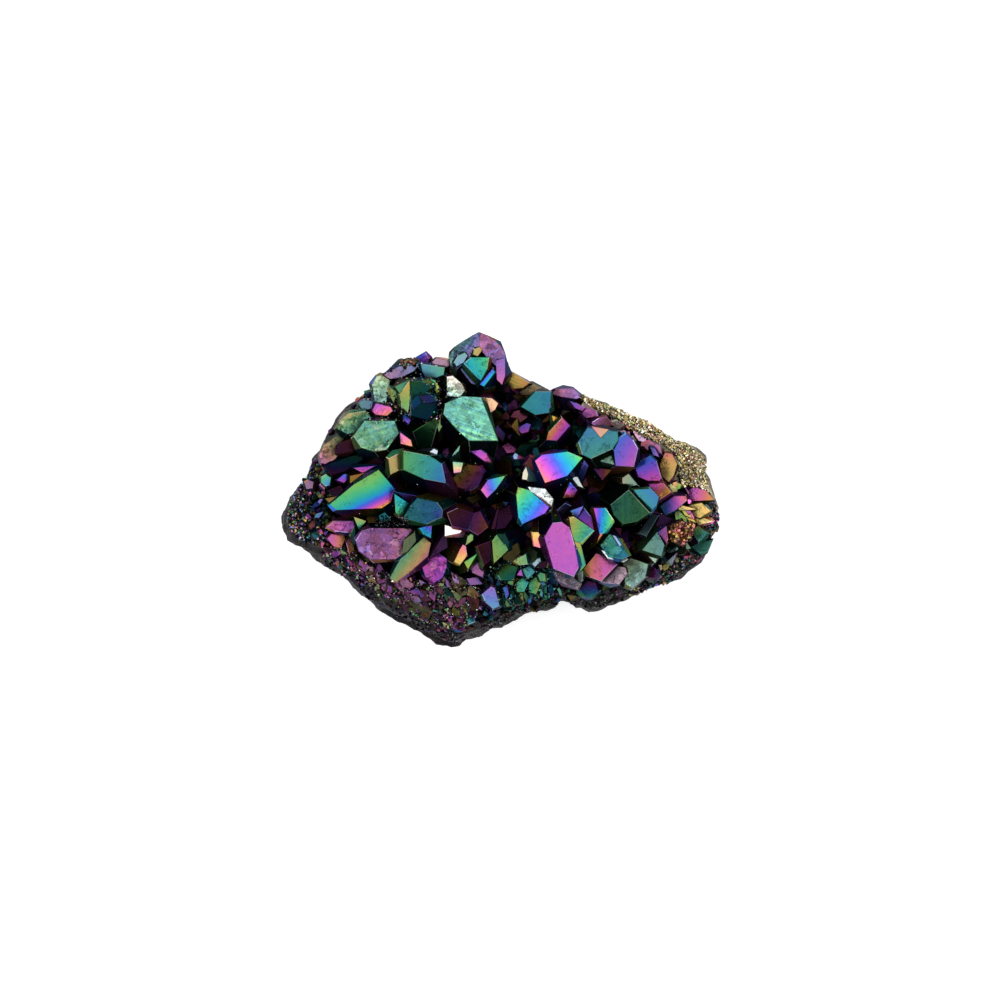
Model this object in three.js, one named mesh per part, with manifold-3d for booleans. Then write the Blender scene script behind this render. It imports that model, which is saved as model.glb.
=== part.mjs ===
// A cluster of coated quartz crystals on the piece of rock that they grew on.
// The crystals are grown together and into the rock, so the whole is one solid.
// Units are millimetres, +Z is up, and the flat underside lies on z = 0 around the origin.
import * as THREE from "three";
import Module from "manifold-3d";
import { mergeVertices } from "three/addons/utils/BufferGeometryUtils.js";

// Driving dimensions.
const WIDTH = 59; // along X, over the rock's two ends
const DEPTH = 42.2; // along Y, from the rock's foot to the tip of the top crystal
const ROCK_TOP = 11.4; // height of the rock's surface under the crystals
const ROCK_WAIST = 6.4; // height at which the rock is widest
const ROOT = 8.4; // the crystals' roots reach down to this height, inside the rock
const CRYSTAL_LENGTH = 22; // longest crystal before it is cut off at the root

// The corners below are read in a picture of the cluster from above, 1000 pixels wide.
const PICTURE_CENTRE = [500.5, 488.3];
const PIXELS_ACROSS = 444; // the cluster's width in that picture
const PIXELS_PER_MM = PIXELS_ACROSS / WIDTH;

// Angles between the faces of quartz, in degrees.
const END_FACE_TO_AXIS = 51.8; // between an end face's normal and the crystal's long axis
// How far the next face turns away, by the direction in which it lies from the tip's direction.
const TURN_BY_DIRECTION = [
  [0, 96],
  [43, 86],
  [70, 46],
  [110, 67],
  [180, 38],
];

// Outline of the rock and its rim, clockwise from its left end.
const OUTLINE = [
  [279, 528], [281, 514], [290, 495], [304, 475], [313, 456], [322, 440], [334, 422], [350, 404],
  [367, 389], [379, 374], [394, 362], [408, 357], [430, 361], [452, 366], [478, 370], [504, 374],
  [531, 385], [551, 390], [574, 391], [595, 400], [624, 409], [653, 422], [670, 435], [694, 447],
  [708, 458], [711, 474], [713, 492], [721, 508], [720, 530], [713, 543], [702, 561], [685, 575],
  [669, 585], [640, 594], [617, 605], [595, 611], [576, 609], [563, 603], [552, 609], [529, 614],
  [506, 624], [481, 636], [464, 643], [452, 648], [437, 645], [413, 634], [393, 623], [369, 602],
  [350, 583], [330, 571], [308, 554], [284, 541],
];

// The rock's side from its foot up: height, and share of the outline's reach.
const ROCK_SIDE = [
  [0, 0.83],
  [2.4, 0.95],
  [ROCK_WAIST, 1],
  [8.4, 0.98],
  [10.1, 0.94],
  [ROCK_TOP, 0.86],
];
const ROCK_HOLLOW = 10.2; // height of the rock's middle, a little below its shoulder
const ROCK_ROUGHNESS = 0.022; // how far a point of the rock's side strays, as a share of its reach

// The large crystals. Each is led by its broad end face:
// [direction of the tip in degrees, tilt of the face away from it, height of the face, flank, corners].
const LARGE_CRYSTALS = {
  peakCrown: [80, 18, 17, 0.5, [[452, 352], [470, 336], [480, 333], [503, 349], [504, 364], [484, 362], [468, 358]]],
  peakLeft: [120, 22, 16.6, 0.5, [[452, 357], [466, 352], [468, 358], [458, 368], [452, 366]]],
  peakFace: [95, 14, 18.2, 0.5, [[464, 366], [470, 357], [488, 359], [486, 374], [482, 386], [475, 378]]],
  peakRight: [60, 22, 16.6, 0.4, [[489, 358], [503, 361], [503, 376], [495, 374], [490, 368]]],
  goldTop: [60, 30, 13.6, 0.5, [[503, 384], [505, 372], [511, 371], [530, 383], [522, 388], [511, 389]]],
  goldRidge: [40, 36, 13.2, 0.4, [[517, 391], [534, 384], [549, 391], [534, 395], [521, 395]]],
  tealRim: [100, 24, 16.2, 0.4, [[422, 363], [445, 368], [444, 377], [428, 378], [423, 371]]],
  violetRim: [110, 20, 13.8, 0.3, [[416, 357], [424, 353], [428, 360], [417, 361]]],
  roseRim: [80, 30, 14, 0.3, [[432, 361], [440, 359], [450, 361], [448, 366], [436, 366]]],
  sliver: [60, 30, 16.4, 0.3, [[428, 381], [438, 378], [440, 386], [437, 394], [433, 387]]],
  brokenWhite: [60, 14, 15.8, 0.4, [[446, 378], [456, 380], [465, 390], [460, 397], [446, 396]]],
  darkHexLeft: [95, 24, 19.2, 0.3, [[411, 382], [400, 394], [403, 413], [408, 417], [409, 396]]],
  darkHexRight: [110, 30, 19, 0.5, [[411, 382], [423, 382], [437, 395], [437, 408], [426, 422], [411, 422], [409, 400]]],
  darkHexEdge: [150, 34, 18, 0.3, [[392, 389], [409, 382], [400, 396], [396, 400]]],
  greyRim: [130, 30, 14.8, 0.5, [[375, 384], [385, 378], [390, 384], [387, 399], [380, 404], [374, 397]]],
  magentaRim: [170, 16, 15, 0.3, [[371, 409], [376, 403], [393, 410], [389, 415], [376, 415]]],
  mint: [80, 16, 20.6, 0.6, [[442, 413], [456, 397], [480, 398], [487, 414], [498, 440], [476, 443], [459, 433]]],
  goldRose: [30, 20, 19.6, 0.4, [[481, 399], [492, 398], [498, 404], [492, 411], [488, 414]]],
  tealTop: [70, 26, 17.4, 0.6, [[521, 407], [535, 392], [551, 392], [549, 413], [535, 415], [528, 411]]],
  roseTop: [60, 28, 14.4, 0.4, [[555, 393], [559, 389], [573, 388], [582, 397], [573, 397], [562, 397]]],
  roseRow: [50, 22, 14.6, 0.3, [[570, 402], [583, 405], [597, 412], [590, 417], [576, 411]]],
  pinkRow: [40, 24, 14.4, 0.3, [[592, 423], [602, 416], [615, 425], [602, 428]]],
  pinkRowEnd: [40, 30, 13.8, 0.3, [[604, 416], [614, 419], [627, 428], [614, 427]]],
  oliveLeft: [160, 26, 15.6, 0.5, [[339, 424], [348, 412], [367, 410], [371, 419], [357, 428], [350, 434], [339, 432]]],
  greenOval: [130, 12, 17.6, 0.6, [[354, 436], [365, 421], [395, 421], [399, 433], [387, 450], [375, 452], [362, 448]]],
  olivePink: [170, 32, 14.2, 0.5, [[320, 454], [327, 443], [337, 436], [343, 439], [341, 450], [327, 466], [320, 462]]],
  darkPrism: [200, 10, 14.6, 0.4, [[324, 467], [348, 457], [362, 454], [363, 459], [345, 471], [331, 475]]],
  magentaWedge: [20, 16, 15.6, 0.3, [[354, 468], [375, 466], [363, 473]]],
  goldBrown: [10, 22, 15.4, 0.3, [[350, 476], [369, 472], [361, 483], [350, 483]]],
  violetKnob: [200, 22, 14.4, 0.3, [[337, 480], [344, 474], [351, 475], [344, 483]]],
  hexLong: [110, 14, 20, 0.7, [[404, 451], [430, 456], [442, 464], [446, 483], [424, 479], [404, 470]]],
  hexGold: [160, 30, 19.7, 0.6, [[403, 452], [403, 469], [391, 475], [389, 459]]],
  bigGreen: [150, 16, 17.8, 0.5, [[331, 504], [354, 485], [379, 470], [395, 489], [391, 502], [382, 508], [337, 510]]],
  greenPane: [170, 22, 18.2, 0.3, [[395, 494], [411, 505], [401, 518], [396, 512]]],
  speckled: [200, 14, 18.8, 0.5, [[411, 506], [418, 498], [437, 502], [443, 510], [442, 517], [427, 524], [404, 518]]],
  purpleStrip: [100, 34, 18.2, 0.3, [[396, 492], [417, 496], [411, 503]]],
  darkCentre: [80, 26, 17, 0.5, [[413, 432], [436, 418], [438, 424], [430, 452], [418, 447]]],
  oliveSlip: [70, 18, 17.6, 0.3, [[437, 425], [441, 416], [444, 423], [439, 432]]],
  rubySmall: [200, 24, 16.8, 0.4, [[400, 432], [411, 440], [413, 447], [401, 444]]],
  brownHex: [100, 30, 17.2, 0.6, [[453, 471], [470, 465], [483, 470], [485, 479], [478, 489], [465, 490], [452, 483]]],
  whitePink: [150, 20, 17.6, 0.3, [[453, 464], [462, 464], [466, 468], [454, 475]]],
  duskFace: [60, 34, 16.4, 0.4, [[467, 457], [480, 448], [491, 458], [488, 467]]],
  greenStrip: [120, 36, 16.4, 0.3, [[457, 441], [462, 442], [454, 455], [450, 453]]],
  lozenge: [55, 18, 17.2, 0.4, [[546, 440], [548, 433], [562, 418], [570, 426], [557, 441]]],
  goldBit: [110, 24, 16.8, 0.3, [[552, 416], [558, 418], [554, 425]]],
  rainbow: [60, 18, 19.2, 0.5, [[535, 461], [542, 455], [567, 452], [582, 458], [567, 476], [545, 483]]],
  rainbowSmall: [60, 26, 17.8, 0.3, [[481, 490], [488, 480], [505, 476], [496, 489], [487, 498]]],
  brownWhite: [100, 34, 17.2, 0.4, [[523, 474], [526, 463], [530, 457], [537, 463], [534, 475], [528, 480]]],
  blueWide: [130, 16, 20.4, 0.5, [[578, 442], [587, 428], [617, 432], [618, 440], [612, 449], [590, 459], [582, 455]]],
  violetWide: [30, 20, 20, 0.4, [[618, 438], [625, 434], [632, 440], [637, 449], [633, 467], [615, 466], [613, 450]]],
  roughGreen: [300, 34, 18.8, 0.4, [[590, 459], [611, 450], [614, 466], [602, 462]]],
  violetRight: [20, 24, 16.6, 0.4, [[635, 469], [645, 459], [655, 459], [659, 468], [661, 480], [645, 480], [637, 476]]],
  pinkUp: [50, 26, 15, 0.4, [[643, 445], [653, 441], [662, 448], [657, 457], [648, 451]]],
  oliveGold: [40, 30, 14, 0.4, [[662, 457], [668, 449], [677, 459], [677, 473], [668, 479], [662, 470]]],
  magentaGold: [10, 22, 15.6, 0.4, [[648, 483], [661, 482], [672, 489], [658, 499], [651, 490]]],
  violetBlue: [350, 20, 14.6, 0.4, [[660, 507], [672, 497], [687, 495], [680, 507], [665, 513]]],
  magentaRidge: [20, 34, 13.4, 0.4, [[685, 492], [700, 485], [712, 499], [702, 502]]],
  goldRidgeHigh: [10, 32, 13, 0.4, [[679, 513], [695, 503], [712, 511], [699, 517]]],
  goldRidgeLow: [350, 28, 12.6, 0.3, [[688, 520], [702, 517], [713, 521], [696, 524]]],
  blueTriangle: [80, 24, 17, 0.3, [[563, 498], [570, 482], [577, 490], [573, 497]]],
  whiteBlade: [20, 20, 17.4, 0.3, [[571, 477], [577, 477], [583, 488], [578, 486]]],
  greyOlive: [20, 24, 17.8, 0.4, [[622, 478], [628, 474], [637, 485], [628, 487], [622, 483]]],
  greenTall: [300, 24, 19, 0.5, [[516, 495], [518, 487], [529, 490], [549, 507], [545, 513], [522, 524], [518, 517]]],
  whiteRough: [60, 12, 18.2, 0.3, [[530, 489], [545, 489], [552, 498], [547, 505], [541, 504]]],
  bigMagenta: [285, 12, 20.8, 0.4, [[544, 537], [552, 523], [562, 522], [569, 527], [574, 545], [578, 567], [573, 576], [553, 568]]],
  oliveSide: [30, 34, 19.8, 0.4, [[570, 518], [577, 518], [592, 531], [580, 542], [584, 565], [580, 567], [574, 545]]],
  blueFlash: [80, 20, 19, 0.3, [[571, 510], [583, 507], [577, 518]]],
  greyLedge: [270, 40, 15.8, 0.6, [[554, 571], [573, 577], [580, 572], [577, 585], [560, 583]]],
  rainbowRight: [40, 20, 19.4, 0.3, [[593, 508], [605, 508], [613, 520], [603, 532], [598, 532], [598, 521]]],
  darkGreen: [330, 16, 19.6, 0.5, [[610, 505], [628, 490], [649, 513], [637, 521], [622, 524], [613, 515]]],
  steelBlue: [30, 24, 19.4, 0.4, [[631, 490], [650, 490], [657, 498], [656, 507], [649, 512]]],
  tealStreak: [320, 18, 18.6, 0.5, [[600, 545], [611, 534], [622, 540], [630, 556], [623, 560], [608, 557]]],
  stripedMagenta: [290, 26, 16.8, 0.4, [[584, 567], [597, 554], [615, 561], [611, 572], [600, 580], [586, 576]]],
  greyStripes: [300, 30, 15.2, 0.4, [[602, 581], [615, 568], [627, 571], [623, 585]]],
  greyGreen: [310, 32, 14.8, 0.5, [[616, 563], [632, 558], [645, 562], [645, 575], [633, 589], [627, 576]]],
  tealGrey: [300, 30, 16.4, 0.4, [[642, 550], [657, 532], [664, 545], [661, 556]]],
  purpleRight: [40, 34, 16.2, 0.3, [[658, 532], [667, 524], [672, 539], [665, 546]]],
  paleWedge: [310, 34, 14.8, 0.3, [[645, 555], [658, 558], [657, 564], [650, 562]]],
  paleWedgeLow: [320, 38, 13.8, 0.3, [[667, 562], [677, 553], [672, 564]]],
  greenRight: [10, 28, 13.6, 0.4, [[692, 532], [698, 526], [708, 533], [699, 542]]],
  tealRight: [340, 34, 12.2, 0.4, [[692, 547], [701, 542], [713, 540], [708, 552], [702, 555]]],
  roundDark: [310, 20, 13.8, 0.5, [[646, 570], [652, 565], [658, 570], [656, 578], [648, 578]]],
  darkRidge: [300, 34, 16.6, 0.4, [[638, 533], [652, 514], [658, 516], [646, 536]]],
  darkStripe: [120, 34, 17.8, 0.4, [[543, 522], [565, 503], [571, 506], [552, 524]]],
  duskWedge: [350, 34, 17.4, 0.4, [[593, 468], [611, 470], [602, 480]]],
  darkPyramid: [240, 24, 17.8, 0.5, [[451, 510], [483, 513], [490, 528], [475, 531], [458, 527], [446, 522]]],
  whitePane: [190, 14, 17, 0.3, [[445, 525], [463, 529], [460, 533], [445, 536]]],
  blueWedge: [120, 20, 17, 0.3, [[419, 528], [432, 525], [431, 538], [423, 534]]],
  oliveBlade: [230, 22, 16.2, 0.5, [[423, 538], [431, 544], [423, 554], [412, 571], [397, 574], [390, 571], [410, 550]]],
  magentaViolet: [260, 24, 15.4, 0.4, [[422, 567], [425, 558], [437, 552], [447, 559], [447, 567], [442, 578], [434, 583], [426, 577]]],
  chippedMauve: [210, 14, 16.2, 0.5, [[360, 539], [371, 528], [380, 527], [413, 532], [414, 539], [403, 553], [393, 558], [373, 560], [360, 549]]],
  pinkLeft: [190, 24, 14.2, 0.4, [[327, 527], [338, 520], [353, 522], [355, 532], [343, 534]]],
  pinkLeftLow: [200, 30, 13.4, 0.4, [[327, 534], [341, 534], [343, 545], [335, 549], [328, 541]]],
  mauveWedge: [220, 28, 14, 0.3, [[346, 543], [353, 534], [354, 550], [349, 554]]],
  yellowChip: [170, 22, 15, 0.3, [[354, 517], [366, 521], [359, 530]]],
  pinkFlake: [330, 26, 15.8, 0.3, [[454, 562], [462, 549], [466, 556], [460, 566]]],
  greenWedge: [20, 20, 16, 0.3, [[464, 562], [477, 554], [468, 569]]],
  greenLow: [300, 22, 17, 0.4, [[492, 541], [497, 533], [508, 546], [508, 553], [494, 563]]],
  blackBrown: [120, 40, 16.6, 0.4, [[477, 546], [490, 541], [493, 557], [484, 565]]],
  oliveLow: [310, 30, 15.4, 0.4, [[512, 560], [526, 554], [529, 566], [522, 567]]],
  blueGreyLow: [320, 24, 15.8, 0.3, [[532, 564], [540, 557], [541, 561], [535, 567]]],
  amber: [260, 16, 16.8, 0.3, [[533, 532], [537, 532], [543, 537], [545, 547], [537, 546]]],
  lavender: [270, 32, 13.6, 0.4, [[483, 595], [490, 587], [494, 598], [499, 608], [492, 609], [485, 602]]],
  tealFoot: [280, 34, 12.4, 0.4, [[465, 616], [473, 613], [475, 622], [468, 625]]],
  magentaFoot: [260, 28, 14.2, 0.4, [[467, 579], [477, 577], [482, 584], [470, 585]]],
  greenFoot: [290, 30, 14.4, 0.4, [[496, 573], [507, 566], [515, 569], [509, 582], [499, 583]]],
  leafFootA: [300, 34, 13.6, 0.4, [[512, 585], [523, 573], [528, 580], [520, 595]]],
  leafFootB: [285, 32, 13.4, 0.4, [[528, 584], [536, 571], [544, 577], [539, 592], [531, 594]]],
  violetFoot: [290, 34, 12.8, 0.4, [[580, 590], [589, 582], [602, 586], [598, 598], [586, 599]]],
};

// Bands of small pointed crystals: how many, from which to which corner of the outline they run,
// the share of the outline's reach at which they stand, their height above the rock, and their radius.
const SMALL_CRYSTAL_BANDS = [
  { count: 20, from: 43, to: 50, reach: [0.62, 0.9], rise: [0.8, 1.7], radius: [0.8, 1.4] },
  { count: 8, from: 50, to: 54, reach: [0.78, 0.93], rise: [0.6, 1.2], radius: [0.7, 1.1] },
  { count: 9, from: 2, to: 8, reach: [0.82, 0.95], rise: [0.5, 1.1], radius: [0.7, 1.1] },
  { count: 9, from: 19, to: 27, reach: [0.86, 0.95], rise: [0.5, 1], radius: [0.7, 1.1] },
  { count: 12, from: 32, to: 41, reach: [0.8, 0.95], rise: [0.5, 1.1], radius: [0.7, 1.2] },
];
const SMALL_CRYSTAL_LEAN = [12, 44]; // outward lean in degrees

// The steep crystals in the deep gaps between the large ones, on a grid over the middle of the rock.
const GAP_CRYSTALS = { spacing: 4.1, reach: 0.55, top: [12.8, 15.2], radius: [1.3, 2.1], lean: [4, 24] };
const SMALLEST_DETAIL = 0.06; // faces and edges that differ by less are merged
const TIP_RISE = Math.tan(THREE.MathUtils.degToRad(END_FACE_TO_AXIS)) * Math.cos(Math.PI / 6);

const wasm = await Module();
wasm.setup();

const degrees = THREE.MathUtils.degToRad;

// Repeatable random numbers from 0 to 1.
function makeRandom(seed) {
  let state = seed;
  return () => {
    state = (state * 16807) % 2147483647;
    return state / 2147483647;
  };
}

function toModel([px, py]) {
  return new THREE.Vector2(px - PICTURE_CENTRE[0], PICTURE_CENTRE[1] - py).divideScalar(PIXELS_PER_MM);
}

// A closed three.js geometry as a solid that can be joined and cut.
function toSolid(geometry) {
  const bare = geometry.clone().deleteAttribute("normal").deleteAttribute("uv");
  const merged = mergeVertices(bare, 1e-5);
  return new wasm.Manifold(
    new wasm.Mesh({
      numProp: 3,
      vertProperties: new Float32Array(merged.attributes.position.array),
      triVerts: new Uint32Array(merged.index.array),
    }),
  );
}

function toGeometry(solid) {
  const mesh = solid.getMesh();
  const geometry = new THREE.BufferGeometry();
  geometry.setAttribute("position", new THREE.BufferAttribute(mesh.vertProperties, 3));
  geometry.setIndex(new THREE.BufferAttribute(mesh.triVerts, 1));
  return geometry;
}

// The solid behind the face through a point, with the given outward normal.
function cutFace(solid, normal, point) {
  return solid.trimByPlane([-normal.x, -normal.y, -normal.z], -normal.dot(point));
}

function turnOfNextFace(direction) {
  const after = TURN_BY_DIRECTION.findIndex(([limit]) => limit >= direction);
  if (after <= 0) return TURN_BY_DIRECTION[0][1];
  const [low, lowTurn] = TURN_BY_DIRECTION[after - 1];
  const [high, highTurn] = TURN_BY_DIRECTION[after];
  return THREE.MathUtils.mapLinear(direction, low, high, lowTurn, highTurn);
}

// One large crystal: the end face, the faces that meet its edges, and the six prism faces around its axis.
function largeCrystal([tipDirection, tilt, height, flank, pictureCorners]) {
  const [heading, slope, toAxis] = [degrees(tipDirection), degrees(tilt), degrees(END_FACE_TO_AXIS)];
  const level = new THREE.Vector3(Math.cos(heading), Math.sin(heading), 0);
  const normal = level.clone().multiplyScalar(-Math.sin(slope)).setZ(Math.cos(slope));
  const towardsTip = level.clone().multiplyScalar(Math.cos(slope)).setZ(Math.sin(slope));
  const axis = normal.clone().multiplyScalar(Math.cos(toAxis)).addScaledVector(towardsTip, Math.sin(toAxis));

  const flat = pictureCorners.map(toModel);
  const middle = flat.reduce((sum, p) => sum.add(p), new THREE.Vector2()).divideScalar(flat.length);
  const centre = new THREE.Vector3(middle.x, middle.y, height);
  const corners = flat.map((p) => {
    const rise = (normal.x * (middle.x - p.x) + normal.y * (middle.y - p.y)) / normal.z;
    return new THREE.Vector3(p.x, p.y, height + rise);
  });

  let solid = toSolid(new THREE.BoxGeometry(CRYSTAL_LENGTH, CRYSTAL_LENGTH, 2 * CRYSTAL_LENGTH));
  solid = solid.translate(centre.x, centre.y, centre.z);
  solid = cutFace(solid, normal, centre);

  corners.forEach((corner, i) => {
    const edge = corners[(i + 1) % corners.length].clone().sub(corner).normalize();
    const outward = edge.clone().cross(normal);
    if (outward.dot(corner.clone().sub(centre)) < 0) outward.negate();
    const direction = THREE.MathUtils.radToDeg(outward.angleTo(towardsTip));
    const turn = degrees(turnOfNextFace(direction));
    const side = normal.clone().multiplyScalar(Math.cos(turn)).addScaledVector(outward, Math.sin(turn));
    solid = cutFace(solid, side, corner);
  });

  const firstPrismNormal = normal.clone().addScaledVector(axis, -normal.dot(axis)).normalize();
  for (let k = 0; k < 6; k++) {
    const prismNormal = firstPrismNormal.clone().applyAxisAngle(axis, (k * Math.PI) / 3);
    const reach = Math.max(...corners.map((p) => p.clone().sub(centre).dot(prismNormal)));
    solid = cutFace(solid, prismNormal, centre.clone().addScaledVector(prismNormal, reach + flank));
  }
  return cutFace(solid, new THREE.Vector3(0, 0, -1), new THREE.Vector3(0, 0, ROOT));
}

const outline = OUTLINE.map(toModel);

// The rock: a drum whose rings follow the outline, with a rough side, a flat foot and a dished top.
function rock() {
  const random = makeRandom(71);
  const around = OUTLINE.length;
  const rings = ROCK_SIDE.length;
  const drum = new THREE.CylinderGeometry(1, 1, 1, around, rings - 1, false);
  const bare = drum.deleteAttribute("normal").deleteAttribute("uv");
  const shape = mergeVertices(bare, 1e-5);
  const place = shape.attributes.position;
  for (let i = 0; i < place.count; i++) {
    const [x, y, z] = [place.getX(i), place.getY(i), place.getZ(i)];
    const ring = Math.round((y + 0.5) * (rings - 1));
    const [height, share] = ROCK_SIDE[ring];
    if (Math.hypot(x, z) < 0.5) {
      place.setXYZ(i, 0, 0, ring === 0 ? 0 : ROCK_HOLLOW);
      continue;
    }
    const turns = 1 - Math.atan2(-z, x) / (2 * Math.PI);
    const corner = outline[Math.round(turns * around) % around];
    const stray = ring === 0 ? 0 : (random() - 0.5) * 2 * ROCK_ROUGHNESS;
    const reach = share + Math.min(stray, 1 - share);
    place.setXYZ(i, corner.x * reach, corner.y * reach, height);
  }
  return toSolid(shape);
}

// The rock's surface at a share of its reach from the middle.
function rockHeight(share) {
  const after = ROCK_SIDE.findIndex(([height, reach]) => height > ROCK_WAIST && reach <= share);
  if (after < 0) return ROCK_TOP;
  const [high, highReach] = ROCK_SIDE[after];
  const [low, lowReach] = ROCK_SIDE[after - 1];
  return THREE.MathUtils.mapLinear(share, highReach, lowReach, high, low);
}

// One small crystal: a hexagonal prism with a six-sided point, its tip at the origin before it is placed.
function smallCrystal(radius) {
  const point = radius * TIP_RISE;
  const profile = [
    new THREE.Vector2(0, -point - 4 * radius),
    new THREE.Vector2(radius, -point - 4 * radius),
    new THREE.Vector2(radius, -point),
    new THREE.Vector2(0, 0),
  ];
  return new THREE.LatheGeometry(profile, 6).rotateX(Math.PI / 2);
}

// A small crystal of a random size and turn, leaning in a heading.
function standingCrystal(random, place, height, radii, leans, heading) {
  const between = ([low, high]) => low + (high - low) * random();
  const geometry = smallCrystal(between(radii));
  geometry.rotateZ(random() * Math.PI);
  geometry.rotateY(degrees(between(leans)));
  geometry.rotateZ(heading);
  geometry.translate(place.x, place.y, height);
  return toSolid(geometry);
}

function smallCrystals() {
  const random = makeRandom(2024);
  const between = ([low, high]) => low + (high - low) * random();
  return SMALL_CRYSTAL_BANDS.flatMap((band) =>
    Array.from({ length: band.count }, (_, i) => {
      const corner = band.from + ((i + 0.8 * random()) / band.count) * (band.to - band.from);
      const start = outline[Math.floor(corner) % outline.length];
      const end = outline[(Math.floor(corner) + 1) % outline.length];
      const share = between(band.reach);
      const place = start.clone().lerp(end, corner % 1).multiplyScalar(share);
      const height = rockHeight(share) + between(band.rise);
      const heading = place.angle() + random() - 0.5;
      return standingCrystal(random, place, height, band.radius, SMALL_CRYSTAL_LEAN, heading);
    }),
  );
}

function gapCrystals() {
  const random = makeRandom(808);
  const { spacing, reach, top, radius, lean } = GAP_CRYSTALS;
  const made = [];
  for (let x = (-WIDTH / 2) * reach; x < (WIDTH / 2) * reach; x += spacing) {
    for (let y = (-DEPTH / 2) * reach; y < (DEPTH / 2) * reach; y += spacing) {
      const place = new THREE.Vector2(x + random() * spacing, y + random() * spacing);
      const share = Math.hypot(place.x / (WIDTH / 2), place.y / (DEPTH / 2));
      const height = THREE.MathUtils.lerp(...top, random());
      if (share > reach) continue;
      made.push(standingCrystal(random, place, height, radius, lean, random() * 2 * Math.PI));
    }
  }
  return made;
}

const crystals = Object.values(LARGE_CRYSTALS).map(largeCrystal);
const grown = wasm.Manifold.union([rock(), ...crystals, ...smallCrystals(), ...gapCrystals()]);
const shells = grown.simplify(SMALLEST_DETAIL).decompose();
// Pockets that the crystals close in are filled: only the outer skin is kept.
const cluster = shells.reduce((largest, shell) => (shell.volume() > largest.volume() ? shell : largest));

const coatedQuartz = new THREE.MeshStandardMaterial({ color: 0x3f6f6a, roughness: 0.25, metalness: 0.8 });
const mesh = new THREE.Mesh(toGeometry(cluster), coatedQuartz);
mesh.name = "amethyst_cluster";

const group = new THREE.Group();
group.add(mesh);
export default group;
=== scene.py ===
import math
import random

import bmesh
import bpy
from mathutils import Matrix, Vector, noise
from mathutils.bvhtree import BVHTree


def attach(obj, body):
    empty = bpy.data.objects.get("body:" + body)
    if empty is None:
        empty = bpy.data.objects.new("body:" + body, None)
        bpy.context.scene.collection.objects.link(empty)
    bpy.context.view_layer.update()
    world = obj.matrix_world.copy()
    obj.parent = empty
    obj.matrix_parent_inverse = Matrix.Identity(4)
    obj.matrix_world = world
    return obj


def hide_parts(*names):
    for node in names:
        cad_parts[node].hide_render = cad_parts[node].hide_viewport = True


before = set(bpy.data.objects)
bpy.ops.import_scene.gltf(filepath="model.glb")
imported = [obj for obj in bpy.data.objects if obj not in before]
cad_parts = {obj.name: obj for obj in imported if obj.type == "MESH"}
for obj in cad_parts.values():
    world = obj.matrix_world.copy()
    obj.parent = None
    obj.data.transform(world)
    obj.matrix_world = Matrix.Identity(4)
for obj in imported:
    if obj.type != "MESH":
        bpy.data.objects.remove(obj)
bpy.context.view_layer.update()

mm = 0.001
clusterNode = "amethyst_cluster"
up = Vector((0, 0, 1))

# The corners below are read in a picture of the cluster from above, 1000 pixels wide.
picture = {"centre": (500.5, 488.3), "pixelsAcross": 444, "width": 59 * mm, "middle": 500}
perPixel = picture["width"] / picture["pixelsAcross"]


def toModel(corner):
    x, y = picture["centre"]
    return Vector(((corner[0] - x) * perPixel, (y - corner[1]) * perPixel))


def mixOf(low, high, part):
    return low + (high - low) * part


def smoothStep(low, high, value):
    part = min(1, max(0, (value - low) / (high - low)))
    return part * part * (3 - 2 * part)


def levelTowards(turn):
    return Vector((math.cos(turn), math.sin(turn), 0))


def middleOf(flat):
    return sum(flat, Vector((0, 0))) / len(flat)


def meshObject(name, bm):
    mesh = bpy.data.meshes.new(name)
    bm.to_mesh(mesh)
    bm.free()
    piece = bpy.data.objects.new(name, mesh)
    bpy.context.scene.collection.objects.link(piece)
    return piece


# Each part of a mesh once, in an order that is the same in every run, which a set doesn't keep.
def eachOnce(parts):
    return list(dict.fromkeys(parts))


# Adds one mesh to another and frees the first.
def addTo(whole, bm):
    part = bpy.data.meshes.new("part")
    bm.to_mesh(part)
    bm.free()
    whole.from_mesh(part)
    bpy.data.meshes.remove(part)


# Camera, light and floor

studio = {
    "lens": 250, "sensor": 36, "focusHeight": 15 * mm, "frameWidth": 1000 * perPixel, "farthest": 20,
    "floorSize": 3.0, "floorColour": (0.93, 0.93, 0.93, 1), "floorRoughness": 0.9, "floorGlow": 0.4,
    "skyLow": 0.42, "skyHigh": 1.05, "skyRise": 0.55,
    # place, size in metres and power in watts of each softbox
    "softboxes": [(-0.45, 0.35, 0.55, 0.42, 1.2), (0.5, 0.25, 0.5, 0.4, 0.8), (0.05, -0.55, 0.5, 0.45, 0.7)],
}


def makeCamera():
    data = bpy.data.cameras.new("camera")
    data.lens = studio["lens"]
    data.sensor_width = studio["sensor"]
    data.clip_end = studio["farthest"]
    distance = studio["frameWidth"] * studio["lens"] / studio["sensor"]
    camera = bpy.data.objects.new("camera", data)
    middle = toModel((picture["middle"], picture["middle"]))
    camera.location = (middle.x, middle.y, studio["focusHeight"] + distance)
    bpy.context.scene.collection.objects.link(camera)
    bpy.context.scene.camera = camera


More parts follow.
